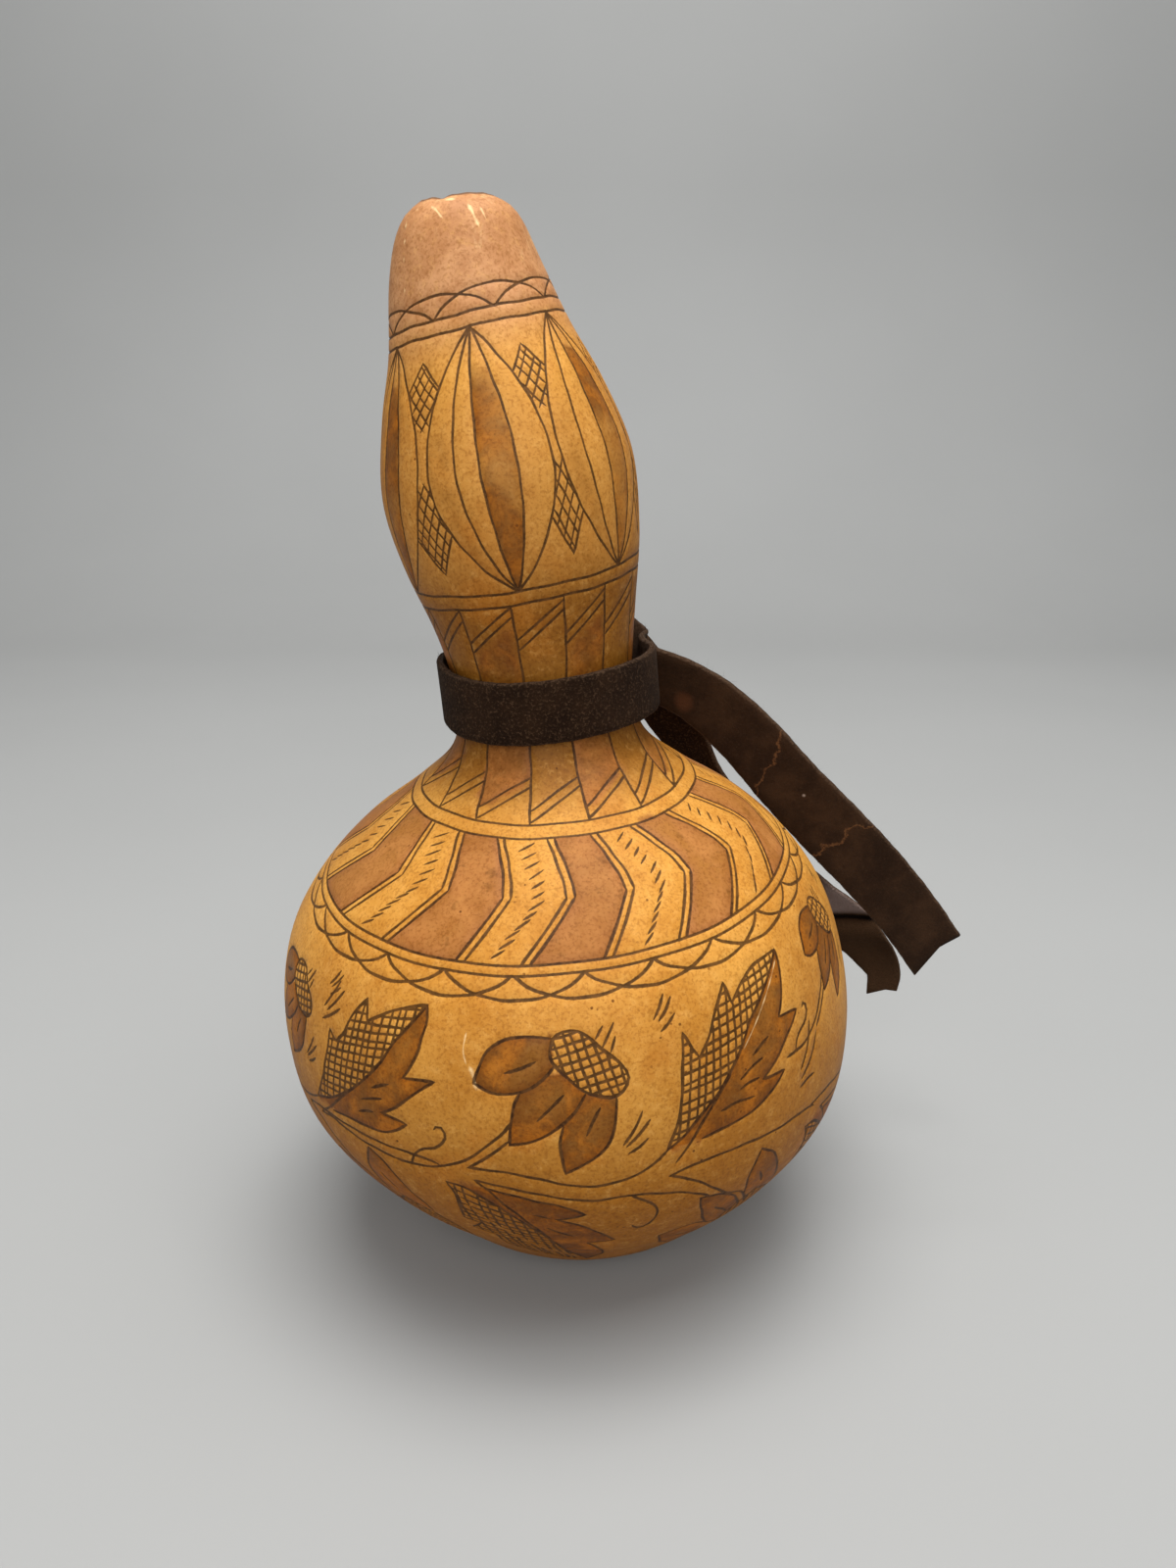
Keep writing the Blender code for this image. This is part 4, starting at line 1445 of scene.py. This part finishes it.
def build_stage():
    """A pale floor that sweeps up into a backdrop."""
    profile = [(FLOOR_FRONT, 0.0), (FLOOR_BACK, 0.0)]
    for k in range(1, 13):
        angle = math.radians(90 * k / 12)
        profile.append((FLOOR_BACK + SWEEP * math.sin(angle), SWEEP * (1 - math.cos(angle))))
    profile.append((FLOOR_BACK + SWEEP, WALL_TOP))
    spots, faces = [], []
    for y, z in profile:
        spots.extend(((-FLOOR_SIDE, y, z), (FLOOR_SIDE, y, z)))
    for k in range(len(profile) - 1):
        faces.append((2 * k, 2 * k + 1, 2 * k + 3, 2 * k + 2))
    floor = finished_mesh("floor", spots, faces, {}, weld=0.0)
    floor.data.materials.append(floor_material())


def add_light(name, place, target, size, power):
    """A soft square light aimed at a target."""
    lamp = bpy.data.lights.new(name, "AREA")
    lamp.shape = "SQUARE"
    lamp.size = size
    lamp.energy = power
    made = bpy.data.objects.new(name, lamp)
    made.location = place
    made.rotation_euler = (Vector(target) - Vector(place)).to_track_quat("-Z", "Y").to_euler()
    bpy.context.scene.collection.objects.link(made)


def light_scene():
    """Large soft lamps above and in front, and a pale surround."""
    add_light("overhead", (0.06, -0.15, 0.85), (0.0, 0.0, 0.08), 0.6, 6.4)
    add_light("front", (0.0, -0.85, 0.50), (0.0, 0.0, 0.07), 0.6, 4.6)
    add_light("backdrop", (0.0, 0.20, 1.20), (0.0, 0.92, 0.30), 0.8, 9.3)
    world = bpy.data.worlds.new("surround")
    world.use_nodes = True
    world.node_tree.nodes["Background"].inputs["Color"].default_value = (0.85, 0.88, 0.92, 1.0)
    world.node_tree.nodes["Background"].inputs["Strength"].default_value = 0.36
    bpy.context.scene.world = world
    bpy.context.scene.view_settings.view_transform = "Standard"


def add_camera():
    """The camera that the photograph was taken with, as far as it can be worked out."""
    lens = bpy.data.cameras.new("camera")
    lens.sensor_fit = "VERTICAL"
    lens.sensor_height = SENSOR
    lens.lens = SENSOR * FOCAL_SHARE
    lens.clip_start = 0.01
    camera = bpy.data.objects.new("camera", lens)
    camera.location = CAMERA_PLACE
    camera.rotation_euler = (math.radians(90.0 - CAMERA_PITCH), 0.0, 0.0)
    bpy.context.scene.collection.objects.link(camera)
    bpy.context.scene.camera = camera


draw_pattern()
GROOVES = stroke_tree(strokes)
gourd = build_skin()
gourd.data.materials.append(gourd_material())
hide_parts("gourd")
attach(gourd, "root")

suede = suede_material()
strap = build_strap()
strap.data.materials.append(suede)
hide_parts("leather_strap")
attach(strap, "root")

fibres = build_fibres()
fibres.data.materials.append(suede)
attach(fibres, "root")

build_stage()
light_scene()
add_camera()
